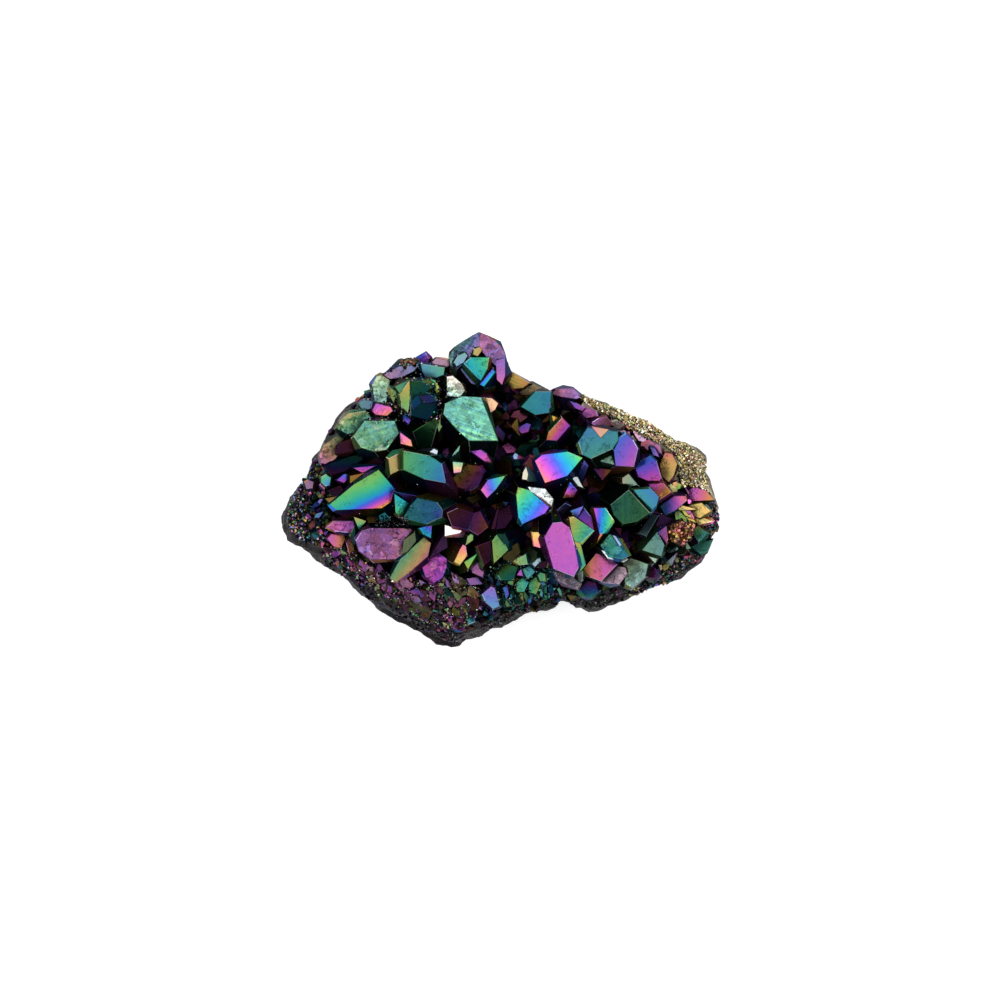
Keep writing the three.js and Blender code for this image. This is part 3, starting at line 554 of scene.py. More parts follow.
# Each is led by its broad end face, seen from above:
# direction of its tip and tilt away from it in degrees, height in mm, flank in mm, corners.
# Then its coat: film from and to and the direction of that change, painted light and shade, paleness.
faces = {
    "peakCrownLeft": (315, 22, 17.4, 0.1, [(449, 357), (454, 348), (464, 341), (473, 336), (480, 333),
                      (479, 347), (470, 357), (458, 369), (451, 366)], 0.66, 0.26, 330, 0.3, 0.3),
    "peakCrownRight": (225, 22, 17.4, 0.1, [(480, 333), (487, 336), (495, 341), (501, 347), (505, 354),
                       (505, 368), (497, 367), (488, 359), (479, 348)], 0.18, 0.34, 290, 0.38, 0.25),
    "peakFace": (100, 10, 18.9, 0.3, [(464, 364), (471, 358), (489, 358), (487, 370), (481, 381),
                 (477, 378)], 0.57, 0.74, 40, 0.9, 0),
    "peakCore": (270, 4, 16.6, 0.3, [(456, 352), (465, 344), (480, 341), (497, 349), (503, 362),
                 (500, 376), (486, 388), (472, 384), (458, 366)], 0.6, 0.3, 300, 0.35, 0.25),
    "peakGrey": (300, 16, 18.1, 0.3, [(454, 363), (458, 356), (465, 353), (468, 356), (464, 363),
                 (457, 367)], 0.62, 0.5, 300, 0.5, 0.35),
    "peakGold": (300, 10, 18.7, 0.25, [(473, 355), (474, 350), (480, 348), (482, 351), (478, 357)],
                 0.94, 1.0, 0, 0.62, 0.15),
    "peakStrip": (120, 16, 18.3, 0.2, [(480, 385), (492, 370), (495, 373), (484, 387)],
                  0.36, 0.62, 320, 1, 0),
    "peakRight": (225, 14, 17.9, 0.1, [(496, 361), (505, 358), (505, 376), (502, 385), (497, 380)],
                  0.32, 0.2, 270, 0.62, 0.15),
    "goldTop": (60, 14, 13.8, 0.2, [(503, 384), (505, 372), (511, 371), (530, 383), (523, 388), (511, 389)],
                0.9, 1.06, 0, 0.55, 0.05),
    "goldRidge": (40, 16, 13.2, 0.4, [(517, 391), (534, 384), (549, 391), (534, 395), (521, 395)],
                  0.95, 1.0, 0, 0.5, 0.3),
    "tealRim": (100, 14, 16.4, 0.4, [(421, 364), (445, 368), (444, 375), (436, 378), (426, 379),
                (422, 371)], 0.52, 0.7, 30, 0.62, 0.15),
    "violetRim": (110, 14, 14.2, 0.3, [(416, 357), (425, 352), (429, 359), (428, 363), (417, 363)],
                  0.46, 0.24, 320, 0.85, 0),
    "roseRim": (260, 14, 15, 0.3, [(432, 362), (436, 358), (447, 360), (450, 365), (446, 368), (434, 366)],
                0.22, 0.15, 0, 0.55, 0.5),
    "sliver": (60, 14, 17.8, 0.2, [(430, 379), (435, 381), (439, 387), (439, 392), (437, 394), (434, 388)],
               0.6, 0.92, 0, 1, 0),
    "brokenWhite": (60, 12, 16.6, 0.3, [(447, 377), (453, 376), (462, 384), (465, 391), (460, 397),
                    (447, 396)], 1.12, 0.58, 250, 2.2, 0.5),
    "darkHexLeft": (0, 20, 19.2, 0.2, [(410, 381), (400, 394), (402, 407), (408, 413), (410, 403),
                    (411, 394)], 0.96, 0.76, 270, 0.6, 0.05),
    "darkHexRight": (135, 18, 19, 0.4, [(411, 395), (427, 393), (437, 398), (437, 408), (427, 420),
                     (411, 416)], 0.64, 0.5, 290, 0.045, 0),
    "darkHexTop": (225, 14, 19.4, 0.3, [(411, 381), (422, 382), (431, 388), (426, 393), (411, 395)],
                   0.76, 0.6, 300, 0.09, 0),
    "darkHexBlue": (135, 22, 19.3, 0.1, [(411, 403), (418, 396), (422, 404), (416, 414)],
                    0.54, 0.4, 300, 0.12, 0),
    "darkHexViolet": (120, 14, 19.25, 0.1, [(420, 397), (431, 395), (437, 401), (427, 404)],
                      0.34, 0.5, 0, 0.1, 0.05),
    "darkHexEdge": (330, 20, 18.9, 0.2, [(410, 380), (395, 387), (400, 394)], 0.76, 0.68, 0, 0.18, 0.1),
    "oliveEdge": (0, 20, 17.6, 0.3, [(390, 388), (397, 392), (394, 403), (391, 398)],
                  0.9, 0.78, 0, 0.42, 0.1),
    "mauvePlate": (270, 14, 15.6, 0.3, [(384, 375), (398, 367), (412, 364), (420, 364), (414, 371),
                   (402, 377), (390, 379)], 0.5, 0.18, 200, 0.45, 0.45),
    "greyRim": (320, 16, 15.2, 0.4, [(372, 385), (377, 376), (383, 375), (390, 379), (388, 394),
                (386, 403), (375, 401)], 0.84, 0.62, 270, 0.5, 0.4),
    "blueRim": (160, 14, 14.8, 0.3, [(358, 403), (363, 400), (373, 401), (372, 409), (362, 410)],
                0.6, 0.5, 0, 0.45, 0.3),
    "magentaRim": (350, 14, 15.4, 0.3, [(372, 411), (376, 403), (391, 407), (393, 411), (387, 416),
                   (376, 415)], 0.3, 0.08, 290, 0.8, 0.05),
    "blueFoot": (300, 20, 16.5, 0.25, [(402, 413), (406, 414), (411, 420), (409, 424), (404, 420)],
                 0.5, 0.32, 300, 0.6, 0),
    "mint": (80, 16, 20.6, 0.1, [(444, 415), (446, 404), (462, 397), (481, 398), (498, 441), (469, 441),
             (456, 429)], 0.64, 0.69, 300, 0.85, 0.18),
    "goldRose": (30, 20, 20.4, 0.1, [(482, 398), (492, 399), (498, 404), (495, 410), (488, 415)],
                 0.12, 0.0, 60, 1.1, 0.3),
    "tealTop": (70, 18, 17.4, 0.15, [(521, 407), (535, 392), (551, 392), (549, 413), (535, 415), (528, 411)],
                0.6, 0.54, 0, 0.38, 0.05),
    "tealTopPrint": (70, 18, 17.55, 0.05, [(543, 404), (546, 401), (550, 402), (550, 408), (546, 410)],
                     0.4, 0.3, 0, 0.42, 0),
    "roseTop": (60, 16, 14.6, 0.4, [(552, 394), (557, 389), (573, 388), (583, 397), (576, 399), (562, 397)],
                0.14, 0.36, 330, 0.6, 0.25),
    "roseRow": (50, 14, 14.6, 0.2, [(575, 409), (584, 407), (596, 411), (598, 416), (586, 418)],
                0.3, 0.18, 340, 0.68, 0.1),
    "violetRow": (50, 14, 14.9, 0.2, [(570, 401), (576, 403), (585, 408), (582, 411), (575, 408)],
                  0.38, 0.26, 340, 0.65, 0.05),
    "pinkRow": (40, 14, 14.6, 0.3, [(591, 423), (599, 418), (607, 417), (613, 425), (605, 428), (596, 428)],
                0.26, 0.1, 350, 0.65, 0.2),
    "pinkRowEnd": (40, 14, 14, 0.2, [(608, 422), (618, 420), (625, 425), (620, 429), (612, 428)],
                   0.1, 0.0, 0, 0.6, 0.7),
    "oliveLeft": (160, 16, 15.8, 0.4, [(336, 428), (340, 421), (348, 414), (366, 411), (372, 418),
                  (357, 432), (348, 434)], 0.94, 0.6, 300, 0.6, 0.2),
    "greenOval": (130, 12, 17.6, 0.6, [(354, 436), (365, 421), (395, 421), (399, 433), (387, 450),
                  (375, 452), (362, 448)], 0.76, 0.66, 60, 0.65, 0.2),
    "olivePink": (170, 16, 14.4, 0.4, [(319, 455), (324, 445), (338, 435), (344, 438), (341, 451),
                  (336, 458), (328, 465), (321, 463)], -0.16, 0.2, 240, 0.55, 0.3),
    "mauvePatch": (200, 10, 12.6, 0.2, [(304, 483), (308, 480), (313, 482), (312, 488), (306, 489)],
                   0.2, 0.26, 0, 0.4, 0.4),
    "blueNub": (100, 12, 14.6, 0.2, [(321, 477), (326, 474), (331, 478), (330, 485), (325, 486),
                (321, 482)], 0.74, 0.48, 300, 0.75, 0.1),
    "pinkNub": (120, 14, 13.8, 0.2, [(319, 485), (322, 482), (326, 486), (324, 490)],
                0.22, 0.04, 0, 0.7, 0.1),
    "darkPrism": (200, 10, 14.6, 0.4, [(324, 467), (348, 457), (362, 454), (363, 459), (345, 471),
                  (331, 475)], 0.2, 0.75, 90, 0.03, 0),
    "magentaWedge": (20, 16, 15.6, 0.3, [(354, 468), (375, 466), (363, 473)], 0.2, 0.3, 90, 0.7, 0),
    "goldBrown": (10, 22, 15.4, 0.3, [(350, 476), (369, 472), (361, 483), (350, 483)],
                  0.0, 0.12, 0, 0.3, 0),
    "violetKnob": (200, 22, 14.4, 0.3, [(337, 480), (344, 474), (351, 475), (344, 483)],
                   0.24, 0.44, 90, 0.5, 0),
    "hexLong": (110, 14, 20, 0.7, [(404, 451), (430, 456), (442, 464), (446, 483), (424, 479), (404, 470)],
                0.78, 0.48, 345, 0.5, 0.05),
    "hexGold": (160, 30, 19.7, 0.6, [(403, 452), (403, 469), (391, 475), (389, 459)],
                0.92, 0.98, 90, 0.62, 0.15),
    "bigGreen": (150, 16, 17.8, 0.5, [(331, 504), (354, 485), (379, 470), (395, 489), (391, 502),
                 (382, 508), (337, 510)], 0.78, -0.02, 297, 0.8, 0),
    "greenPane": (170, 22, 18.2, 0.3, [(395, 494), (411, 505), (401, 518), (396, 512)],
                  0.58, 0.76, 240, 0.85, 0),
    "speckled": (200, 14, 18.8, 0.5, [(411, 506), (418, 498), (437, 502), (443, 510), (442, 517),
                 (427, 524), (404, 518)], 0.62, 0.46, 350, 0.22, 0.05),
    "purpleStrip": (100, 34, 18.2, 0.3, [(396, 492), (417, 496), (411, 503)], 0.42, 0.28, 0, 0.1, 0),
    "darkCentre": (80, 26, 17, 0.5, [(413, 432), (436, 418), (438, 424), (430, 452), (418, 447)],
                   0.66, 0.8, 60, 0.05, 0),
    "oliveSlip": (70, 18, 17.6, 0.3, [(437, 425), (441, 416), (444, 423), (439, 432)],
                  0.78, 0.86, 90, 0.42, 0.15),
    "rubySmall": (200, 24, 16.8, 0.4, [(400, 432), (411, 440), (413, 447), (401, 444)],
                  0.24, 0.06, 300, 0.55, 0.1),
    "brownHex": (100, 20, 17.2, 0.6, [(453, 478), (468, 465), (478, 466), (484, 474), (479, 486),
                 (470, 491), (458, 487)], -0.1, 0.34, 320, 0.05, 0),
    "whiteNub": (0, 8, 18.2, 0.2, [(430, 452), (434, 449), (438, 451), (437, 455), (432, 455)],
                 0.5, 0.45, 0, 1.1, 0.8),
    "purpleBlade": (330, 20, 17.8, 0.2, [(461, 440), (476, 446), (487, 454), (491, 462), (484, 461),
                    (464, 447)], 0.4, 0.18, 300, 0.35, 0),
    "blueDot": (0, 6, 15.5, 0.15, [(513, 456), (515, 453), (518, 455), (517, 459), (514, 459)],
                0.46, 0.5, 0, 1, 0.35),
    "whiteWedge": (180, 10, 17.8, 0.15, [(522, 479), (523, 472), (526, 467), (528, 474), (527, 480)],
                   0.98, 0.9, 0, 1.05, 0.6),
    "whitePink": (150, 14, 18, 0.2, [(453, 462), (463, 463), (461, 472), (454, 473)],
                  0.7, 1.22, 270, 1, 0.35),
    "duskFace": (60, 34, 16.4, 0.4, [(467, 457), (480, 448), (491, 458), (488, 467)],
                 0.44, 0.26, 0, 0.07, 0),
    "greenStrip": (120, 16, 17.2, 0.2, [(450, 458), (454, 453), (461, 441), (459, 451)],
                   0.72, 0.68, 0, 0.6, 0.3),
    "lozenge": (55, 16, 17.2, 0.4, [(546, 440), (548, 433), (562, 418), (570, 426), (557, 441)],
                0.02, 0.3, 325, 0.55, 0),
    "goldBit": (110, 24, 16.8, 0.3, [(552, 416), (558, 418), (554, 425)], 0.97, 1.03, 0, 0.7, 0),
    "rainbow": (60, 18, 19.2, 0.5, [(535, 461), (542, 455), (567, 452), (582, 458), (567, 476), (545, 483)],
                0.08, 0.8, 36, 1.2, 0),
    "rainbowSmall": (60, 26, 17.8, 0.3, [(481, 490), (488, 480), (505, 476), (496, 489), (487, 498)],
                     0.14, 0.82, 20, 1, 0.05),
    "brownWhite": (100, 34, 17.2, 0.4, [(523, 474), (526, 463), (530, 457), (537, 463), (534, 475),
                   (528, 480)], 0.05, 0.16, 0, 0.08, 0),
    "blueWide": (130, 14, 20.4, 0.5, [(578, 442), (587, 428), (617, 432), (618, 440), (612, 449),
                 (590, 459), (582, 455)], 0.5, 0.64, 300, 0.5, 0.1),
    "salmonChip": (130, 14, 20.75, 0.05, [(591, 427), (608, 430), (600, 438)],
                   0.14, 0.04, 320, 0.75, 0.3),
    "violetWide": (30, 20, 20, 0.4, [(618, 438), (625, 434), (632, 440), (637, 449), (633, 467),
                   (615, 466), (613, 450)], 0.46, 0.22, 325, 0.72, 0.05),
    "roughGreen": (300, 20, 18.8, 0.4, [(590, 459), (609, 450), (614, 466), (602, 462)],
                   0.74, 0.7, 0, 0.4, 0.35),
    "violetRight": (20, 16, 16.8, 0.4, [(635, 468), (640, 461), (650, 456), (656, 461), (661, 478),
                    (659, 481), (648, 481), (638, 477)], 0.46, 0.2, 290, 0.66, 0),
    "pinkUp": (50, 16, 15.2, 0.3, [(643, 446), (651, 441), (660, 446), (662, 454), (650, 452)],
               0.14, 0.26, 320, 0.62, 0.2),
    "pinkUpInner": (355, 14, 15.8, 0.15, [(650, 447), (655, 449), (659, 457), (653, 455)],
                    0.42, 0.3, 0, 0.75, 0.15),
    "oliveGold": (30, 14, 14.6, 0.3, [(660, 464), (665, 453), (672, 454), (677, 464), (674, 475),
                  (669, 482), (662, 476)], 0.16, -0.06, 270, 0.68, 0.1),
    "magentaGold": (10, 16, 15.8, 0.4, [(648, 483), (657, 480), (664, 484), (671, 492), (659, 500),
                    (651, 490)], 0.3, 0.0, 315, 0.8, 0),
    "violetBlue": (350, 14, 14.8, 0.3, [(660, 506), (674, 496), (686, 496), (687, 500), (676, 510),
                   (665, 515)], 0.48, 0.08, 20, 0.7, 0.05),
    "magentaRidge": (20, 16, 13.6, 0.3, [(683, 495), (697, 485), (705, 489), (714, 500), (694, 501)],
                     0.3, 0.02, 340, 0.7, 0.05),
    "goldRidgeHigh": (10, 14, 13.2, 0.3, [(681, 512), (690, 505), (702, 503), (711, 511), (700, 518)],
                      0.86, 1.0, 0, 1.1, 0.1),
    "goldRidgeLow": (350, 14, 12.8, 0.3, [(688, 520), (702, 517), (713, 521), (698, 526)],
                     0.88, 0.98, 0, 1.1, 0.15),
    "brownKnob": (0, 6, 16.6, 0.3, [(669, 533), (673, 526), (681, 523), (689, 526), (692, 533),
                  (688, 540), (680, 543), (672, 540)], 0.06, 0.12, 0, 0.14, 0),
    "blueTriangle": (80, 24, 17, 0.3, [(563, 498), (570, 482), (577, 490), (573, 497)],
                     0.5, 0.04, 260, 0.6, 0),
    "whiteBlade": (20, 20, 17.4, 0.3, [(571, 477), (577, 477), (583, 488), (578, 486)],
                   0.5, 0.9, 0, 0.9, 0.8),
    "greyOlive": (20, 16, 17.8, 0.4, [(622, 478), (628, 474), (637, 485), (628, 487), (622, 483)],
                  0.92, 0.62, 340, 0.5, 0.5),
    "greenTall": (300, 24, 19, 0.5, [(516, 495), (518, 487), (529, 490), (549, 507), (545, 513),
                  (522, 524), (518, 517)], 0.88, 0.3, 318, 0.75, 0),
    "whiteRough": (60, 12, 18.4, 0.2, [(528, 487), (545, 489), (553, 499), (550, 511), (541, 505),
                   (533, 496)], 0.6, 0.75, 0, 1.8, 0.85),
    "bigMagenta": (285, 12, 20.8, 0.4, [(544, 537), (552, 523), (562, 522), (569, 527), (574, 545),
                   (578, 567), (573, 576), (553, 568)], 0.235, 0.265, 300, 0.8, 0.05),
    "oliveSide": (30, 12, 20.7, 0.2, [(569, 518), (574, 517), (593, 530), (580, 543), (573, 541)],
                  -0.02, -0.42, 335, 0.65, 0.05),
    "oliveSideLow": (30, 12, 20.5, 0.15, [(573, 541), (580, 543), (585, 564), (580, 569), (577, 562)],
                     -0.02, -0.38, 320, 0.7, 0.05),
    "blueFlash": (80, 14, 19.6, 0.2, [(570, 511), (583, 506), (577, 518)], 0.5, 0.36, 0, 0.7, 0.1),
    "purpleBack": (300, 16, 19.4, 0.2, [(577, 518), (583, 507), (590, 516), (592, 529)],
                   0.4, 0.24, 300, 0.3, 0),
    "greyLedge": (270, 18, 17.4, 0.3, [(554, 570), (573, 577), (580, 583), (577, 589), (559, 581)],
                  0.2, 0.26, 0, 0.5, 0.75),
    "paleWedgeMid": (270, 18, 17, 0.2, [(577, 573), (583, 570), (582, 580), (579, 584)],
                     0.66, 0.6, 0, 0.5, 0.7),
    "rainbowRight": (40, 16, 19.4, 0.3, [(593, 508), (605, 508), (613, 520), (604, 533), (599, 534),
                     (596, 521)], 0.2, 0.84, 355, 1, 0),
    "orangeTip": (40, 16, 18.9, 0.15, [(597, 541), (600, 533), (602, 534)], 0.1, 0.0, 270, 0.9, 0),
    "darkGreen": (330, 14, 19.6, 0.5, [(610, 505), (628, 490), (649, 513), (637, 521), (622, 524),
                  (613, 515)], 0.68, 0.74, 340, 0.13, 0.05),
    "steelBlue": (30, 16, 19.6, 0.3, [(633, 490), (650, 489), (658, 497), (656, 505), (649, 512)],
                  0.6, 0.47, 30, 0.62, 0.08),
    "tealStreak": (320, 14, 18.6, 0.4, [(600, 545), (609, 534), (619, 538), (628, 556), (622, 559),
                   (608, 557)], 0.66, 0.57, 320, 0.36, 0.05),
    "streakWhite": (320, 14, 18.85, 0.05, [(612, 535), (615, 536), (621, 545), (619, 546)],
                    0.5, 0.46, 0, 0.8, 0.4),
    "whiteChips": (320, 14, 18.5, 0.1, [(601, 550), (604, 551), (613, 559), (607, 558)],
                   0.6, 0.7, 0, 1, 0.85),
    "whiteChipsLow": (320, 14, 18.3, 0.1, [(620, 560), (624, 557), (628, 559), (623, 562)],
                      0.6, 0.7, 0, 1, 0.9),
    "stripedMagenta": (290, 16, 17, 0.4, [(583, 569), (596, 553), (609, 557), (617, 564), (601, 581),
                       (590, 577)], -0.12, 0.25, 0, 0.62, 0.05),
    "greyStripes": (300, 16, 16, 0.3, [(598, 580), (614, 566), (625, 567), (627, 574), (619, 584),
                    (606, 583)], 0.22, 0.16, 0, 0.5, 0.65),
    "greyGreen": (310, 16, 16, 0.4, [(623, 563), (631, 558), (648, 564), (645, 577), (632, 588),
                  (625, 584)], 0.86, 0.62, 320, 0.45, 0.45),
    "tealGrey": (300, 16, 16.6, 0.4, [(642, 550), (657, 532), (664, 545), (661, 556)],
                 0.7, 0.6, 0, 0.38, 0.3),
    "purpleRight": (40, 18, 16.2, 0.2, [(658, 532), (666, 526), (668, 539), (664, 546)],
                    0.34, 0.14, 340, 0.4, 0.1),
    "paleWedge": (310, 16, 15.4, 0.2, [(641, 548), (648, 548), (658, 558), (655, 563)],
                  0.86, 0.7, 0, 0.55, 0.6),
    "paleWedgeLow": (320, 18, 14.2, 0.2, [(645, 555), (657, 560), (652, 566), (648, 562)],
                     0.6, 0.5, 0, 0.6, 0.75),
    "paleWedgeRight": (320, 18, 13.8, 0.2, [(667, 562), (677, 553), (672, 564)], 0.6, 0.5, 0, 0.7, 0.7),
    "greenRight": (10, 16, 13.8, 0.4, [(692, 532), (698, 526), (708, 533), (699, 542)],
                   0.84, 0.6, 320, 0.45, 0.1),
    "tealRight": (340, 18, 12.4, 0.4, [(692, 547), (701, 542), (713, 540), (708, 552), (702, 555)],
                  0.62, 0.68, 0, 0.34, 0.1),
    "roundDark": (310, 20, 13.8, 0.5, [(646, 570), (652, 565), (658, 570), (656, 578), (648, 578)],
                  0.08, 0.3, 0, 0.1, 0),
    "darkRidge": (300, 20, 16.8, 0.3, [(638, 533), (652, 514), (658, 516), (646, 536)],
                  0.6, 0.5, 0, 0.15, 0.4),
    "darkStripe": (120, 20, 17.8, 0.3, [(543, 522), (565, 503), (571, 506), (552, 524)],
                   0.24, 0.4, 30, 0.07, 0.3),
    "duskWedge": (350, 20, 17.6, 0.3, [(593, 468), (611, 470), (602, 480)], 0.34, -0.02, 0, 0.08, 0),
    "darkPyramid": (200, 16, 17.6, 0.4, [(447, 513), (458, 508), (473, 513), (469, 530), (452, 526)],
                    0.1, 0.34, 310, 0.03, 0),
    "darkPyramidRight": (340, 20, 17.6, 0.4, [(473, 513), (480, 511), (488, 527), (478, 535), (469, 530)],
                         0.3, 0.05, 350, 0.045, 0),
    "whitePane": (190, 12, 17.4, 0.2, [(445, 525), (463, 529), (460, 533), (445, 536)],
                  0.98, 1.22, 0, 1.7, 0.7),
    "blueWedge": (120, 20, 17, 0.3, [(419, 528), (432, 525), (431, 538), (423, 534)],
                  0.6, 0.3, 60, 0.55, 0),
    "oliveBlade": (230, 14, 16.4, 0.3, [(424, 537), (431, 543), (428, 556), (410, 572), (396, 582),
                   (390, 578), (400, 560), (412, 548)], 0.7, 1.16, 325, 0.42, 0.2),
    "magentaViolet": (260, 24, 15.4, 0.4, [(422, 567), (425, 558), (437, 552), (447, 559), (447, 567),
                      (442, 578), (434, 583), (426, 577)], 0.22, 0.3, 0, 0.62, 0),
    "chippedMauve": (210, 12, 16.4, 0.4, [(356, 541), (362, 531), (371, 528), (410, 528), (416, 533),
                     (415, 543), (406, 553), (395, 559), (370, 559), (359, 551)],
                     0.25, 0.17, 335, 0.42, 0.2),
    "mauveEnd": (210, 12, 16.5, 0.1, [(404, 540), (415, 532), (416, 541), (408, 551), (402, 554)],
                 0.88, 0.8, 0, 0.2, 0.3),
    "pinkLeft": (190, 14, 14.6, 0.3, [(327, 527), (334, 521), (353, 521), (355, 527), (353, 533),
                 (334, 531)], 0.16, 0.27, 0, 0.6, 0.08),
    "pinkLeftLow": (200, 16, 13.6, 0.3, [(327, 539), (331, 534), (343, 534), (345, 539), (341, 548),
                    (333, 546)], 0.24, 0.04, 0, 0.6, 0.08),
    "mauveWedge": (220, 16, 14, 0.3, [(346, 543), (353, 534), (354, 550), (349, 554)],
                   0.24, -0.1, 0, 0.45, 0.1),
    "yellowChip": (170, 22, 15, 0.3, [(354, 517), (366, 521), (359, 530)], 0.94, 0.6, 270, 0.75, 0.1),
    "pinkFlake": (330, 16, 16.2, 0.2, [(454, 562), (460, 549), (465, 541), (467, 556), (460, 565)],
                  -0.08, 0.2, 80, 0.55, 0.1),
    "oliveChip": (330, 14, 16.8, 0.2, [(466, 545), (468, 536), (474, 531), (473, 540)],
                  0.88, 0.8, 0, 0.5, 0.1),
    "greenWedge": (20, 20, 16, 0.3, [(464, 562), (477, 554), (468, 569)], 0.72, 0.86, 240, 0.85, 0),
    "greenLow": (300, 16, 17, 0.3, [(492, 541), (497, 534), (505, 543), (508, 550), (494, 563)],
                 0.76, 0.86, 220, 0.42, 0.05),
    "greenLowDark": (200, 14, 17, 0.3, [(497, 534), (505, 534), (509, 542), (508, 550)],
                     0.68, 0.58, 300, 0.07, 0.05),
    "blackBrown": (120, 20, 16.6, 0.4, [(477, 546), (490, 541), (493, 557), (484, 565)],
                   0.1, 0.2, 0, 0.02, 0),
    "oliveLow": (310, 16, 15.4, 0.3, [(511, 560), (526, 554), (528, 564), (519, 565)],
                 0.9, 0.74, 0, 0.42, 0.15),
    "blueGreyLow": (320, 16, 15.8, 0.3, [(532, 564), (540, 557), (541, 561), (535, 567)],
                    0.52, 0.6, 0, 0.5, 0.5),
    "amber": (260, 14, 19.2, 0.15, [(532, 532), (538, 532), (544, 542), (544, 548), (538, 547), (534, 546)],
              0.93, 1.18, 290, 1.15, 0.1),
    "lavender": (270, 18, 14.8, 0.4, [(482, 594), (491, 586), (495, 588), (500, 606), (493, 609),
                 (486, 603)], 0.3, 0.52, 270, 0.7, 0.2),
    "tealFoot": (280, 18, 12.6, 0.4, [(465, 616), (473, 613), (475, 622), (468, 625)],
                 0.62, 0.52, 0, 0.5, 0.1),
    "magentaFoot": (260, 16, 14.2, 0.3, [(467, 579), (477, 577), (482, 584), (470, 585)],
                    0.26, 0.34, 0, 0.45, 0.2),
    "mauveFoot": (270, 14, 14.8, 0.3, [(470, 565), (478, 561), (485, 568), (482, 577), (473, 573)],
                  0.24, 0.18, 0, 0.45, 0.2),
    "greenFoot": (290, 16, 14.8, 0.4, [(497, 574), (506, 563), (518, 567), (513, 580), (501, 580)],
                  0.84, 0.6, 300, 0.14, 0),
    "leafFootA": (300, 16, 14, 0.3, [(516, 583), (523, 577), (529, 582), (524, 592), (517, 592)],
                  0.74, 0.6, 0, 0.48, 0.05),
    "leafFootB": (285, 16, 13.8, 0.3, [(529, 582), (537, 576), (541, 583), (536, 594), (529, 592)],
                  0.68, 0.88, 0, 0.48, 0.05),
    "leafFootC": (300, 14, 14.6, 0.3, [(521, 570), (530, 566), (535, 572), (528, 579)],
                  0.66, 0.54, 0, 0.5, 0.1),
    "leafFootD": (300, 14, 14.2, 0.3, [(536, 571), (545, 574), (546, 582), (540, 581)],
                  0.68, 0.8, 0, 0.45, 0.1),
    "blueFootLow": (280, 14, 13.6, 0.25, [(503, 588), (507, 585), (509, 594), (506, 600)],
                    0.52, 0.34, 0, 0.55, 0.05),
    "magentaGlint": (300, 12, 15, 0.15, [(517, 575), (521, 569), (523, 576)], 0.2, 0.3, 0, 0.65, 0.05),
    "violetFoot": (290, 16, 13.2, 0.4, [(580, 590), (587, 581), (596, 583), (599, 592), (592, 598),
                   (585, 597)], 0.2, 0.64, 270, 0.5, 0.05),
}
# Faces whose surface grew uneven: its relief in mm and how rough its coat is.
uneven = {
    "mint": (0.12, 0.36), "greenOval": (0.12, 0.5), "chippedMauve": (0.16, 0.5), "whiteRough": (0.16, 0.75),
    "brokenWhite": (0.18, 0.65), "roughGreen": (0.12, 0.8), "speckled": (0.03, 0.33),
    "tealStreak": (0.06, 0.45), "peakCrownLeft": (0.08, 0.55), "peakCrownRight": (0.08, 0.5),
    "peakFace": (0.05, 0.25), "greyRim": (0.08, 0.5), "oliveLeft": (0.07, 0.5), "olivePink": (0.07, 0.4),
    "greyLedge": (0.06, 0.4), "greyGreen": (0.06, 0.4), "greyStripes": (0.06, 0.4), "roseTop": (0.06, 0.35),
    "pinkLeft": (0.05, 0.3), "magentaViolet": (0.1, 0.45), "bigMagenta": (0.015, 0.06),
    "oliveBlade": (0.04, 0.2), "darkGreen": (0.03, 0.2), "blueWide": (0.03, 0.2), "mauvePlate": (0.06, 0.4),
    "brownHex": (0.02, 0.3), "whitePane": (0.05, 0.25), "goldRose": (0.05, 0.3), "pinkRowEnd": (0.06, 0.3),
    "goldRidge": (0.05, 0.35), "roseRow": (0.05, 0.3),
    # the smaller crystals of whole zones, only their coat
    "lowerLeftPlates": (0, 0.45), "lowerLeft": (0, 0.4), "lowerCentre": (0, 0.3), "rightRidge": (0, 0.35),
    "upperRidge": (0, 0.4), "topLeft": (0, 0.35), "leftEdge": (0, 0.3),
}
# how late the film changes along the face
bends = {"bigGreen": 2.2, "chippedMauve": 2, "stripedMagenta": 0.4, "oliveGold": 0.5}
# crystals whose sides get more painted shade than the others'
shadedSides = {
    "mint": 0.25, "tealTop": 0.4, "goldRose": 0.3, "blueWide": 0.5, "darkGreen": 0.6, "greenOval": 0.5,
}
# Faces with growth lines: the direction across them in degrees and how much they show.
lined = {
    "peakCrownLeft": (60, 0.9), "peakCrownRight": (120, 0.9), "greyStripes": (70, 0.9),
    "peakRight": (100, 0.5), "stripedMagenta": (20, 0.6), "goldTop": (70, 0.8), "violetBlue": (40, 0.35),
    "magentaRidge": (80, 0.4), "oliveGold": (100, 0.3), "tealStreak": (140, 0.6), "brownHex": (20, 0.7),
    "goldRidgeHigh": (90, 0.6), "goldRidgeLow": (70, 0.6), "lozenge": (130, 0.3), "oliveSide": (100, 0.3),
    "mint": (70, 0.9), "greenOval": (110, 0.5), "chippedMauve": (30, 0.3), "darkGreen": (0, 0.4),
}

mainFace, endFace, prismFace, edgeFace = 1, 2, 3, 4


def newCoat(bm):
    names = ("film", "paintedLight", "pale", "rough", "lines", "along")
    coat = {name: bm.loops.layers.float.new(name) for name in names}
    coat["kind"] = bm.faces.layers.int.new("kind")
    return coat


# Film and painted light and shade may be numbers or follow the place; growth lines run across a direction.
def paint(face, coat, film, paintedLight, pale, rough, across=None, lines=0):
    for loop in face.loops:
        place = loop.vert.co
        loop[coat["film"]] = film(place) if callable(film) else film
        loop[coat["paintedLight"]] = paintedLight(place) if callable(paintedLight) else paintedLight
        loop[coat["pale"]] = pale
        loop[coat["rough"]] = rough
        loop[coat["lines"]] = lines
        loop[coat["along"]] = place.dot(across) if lines else 0


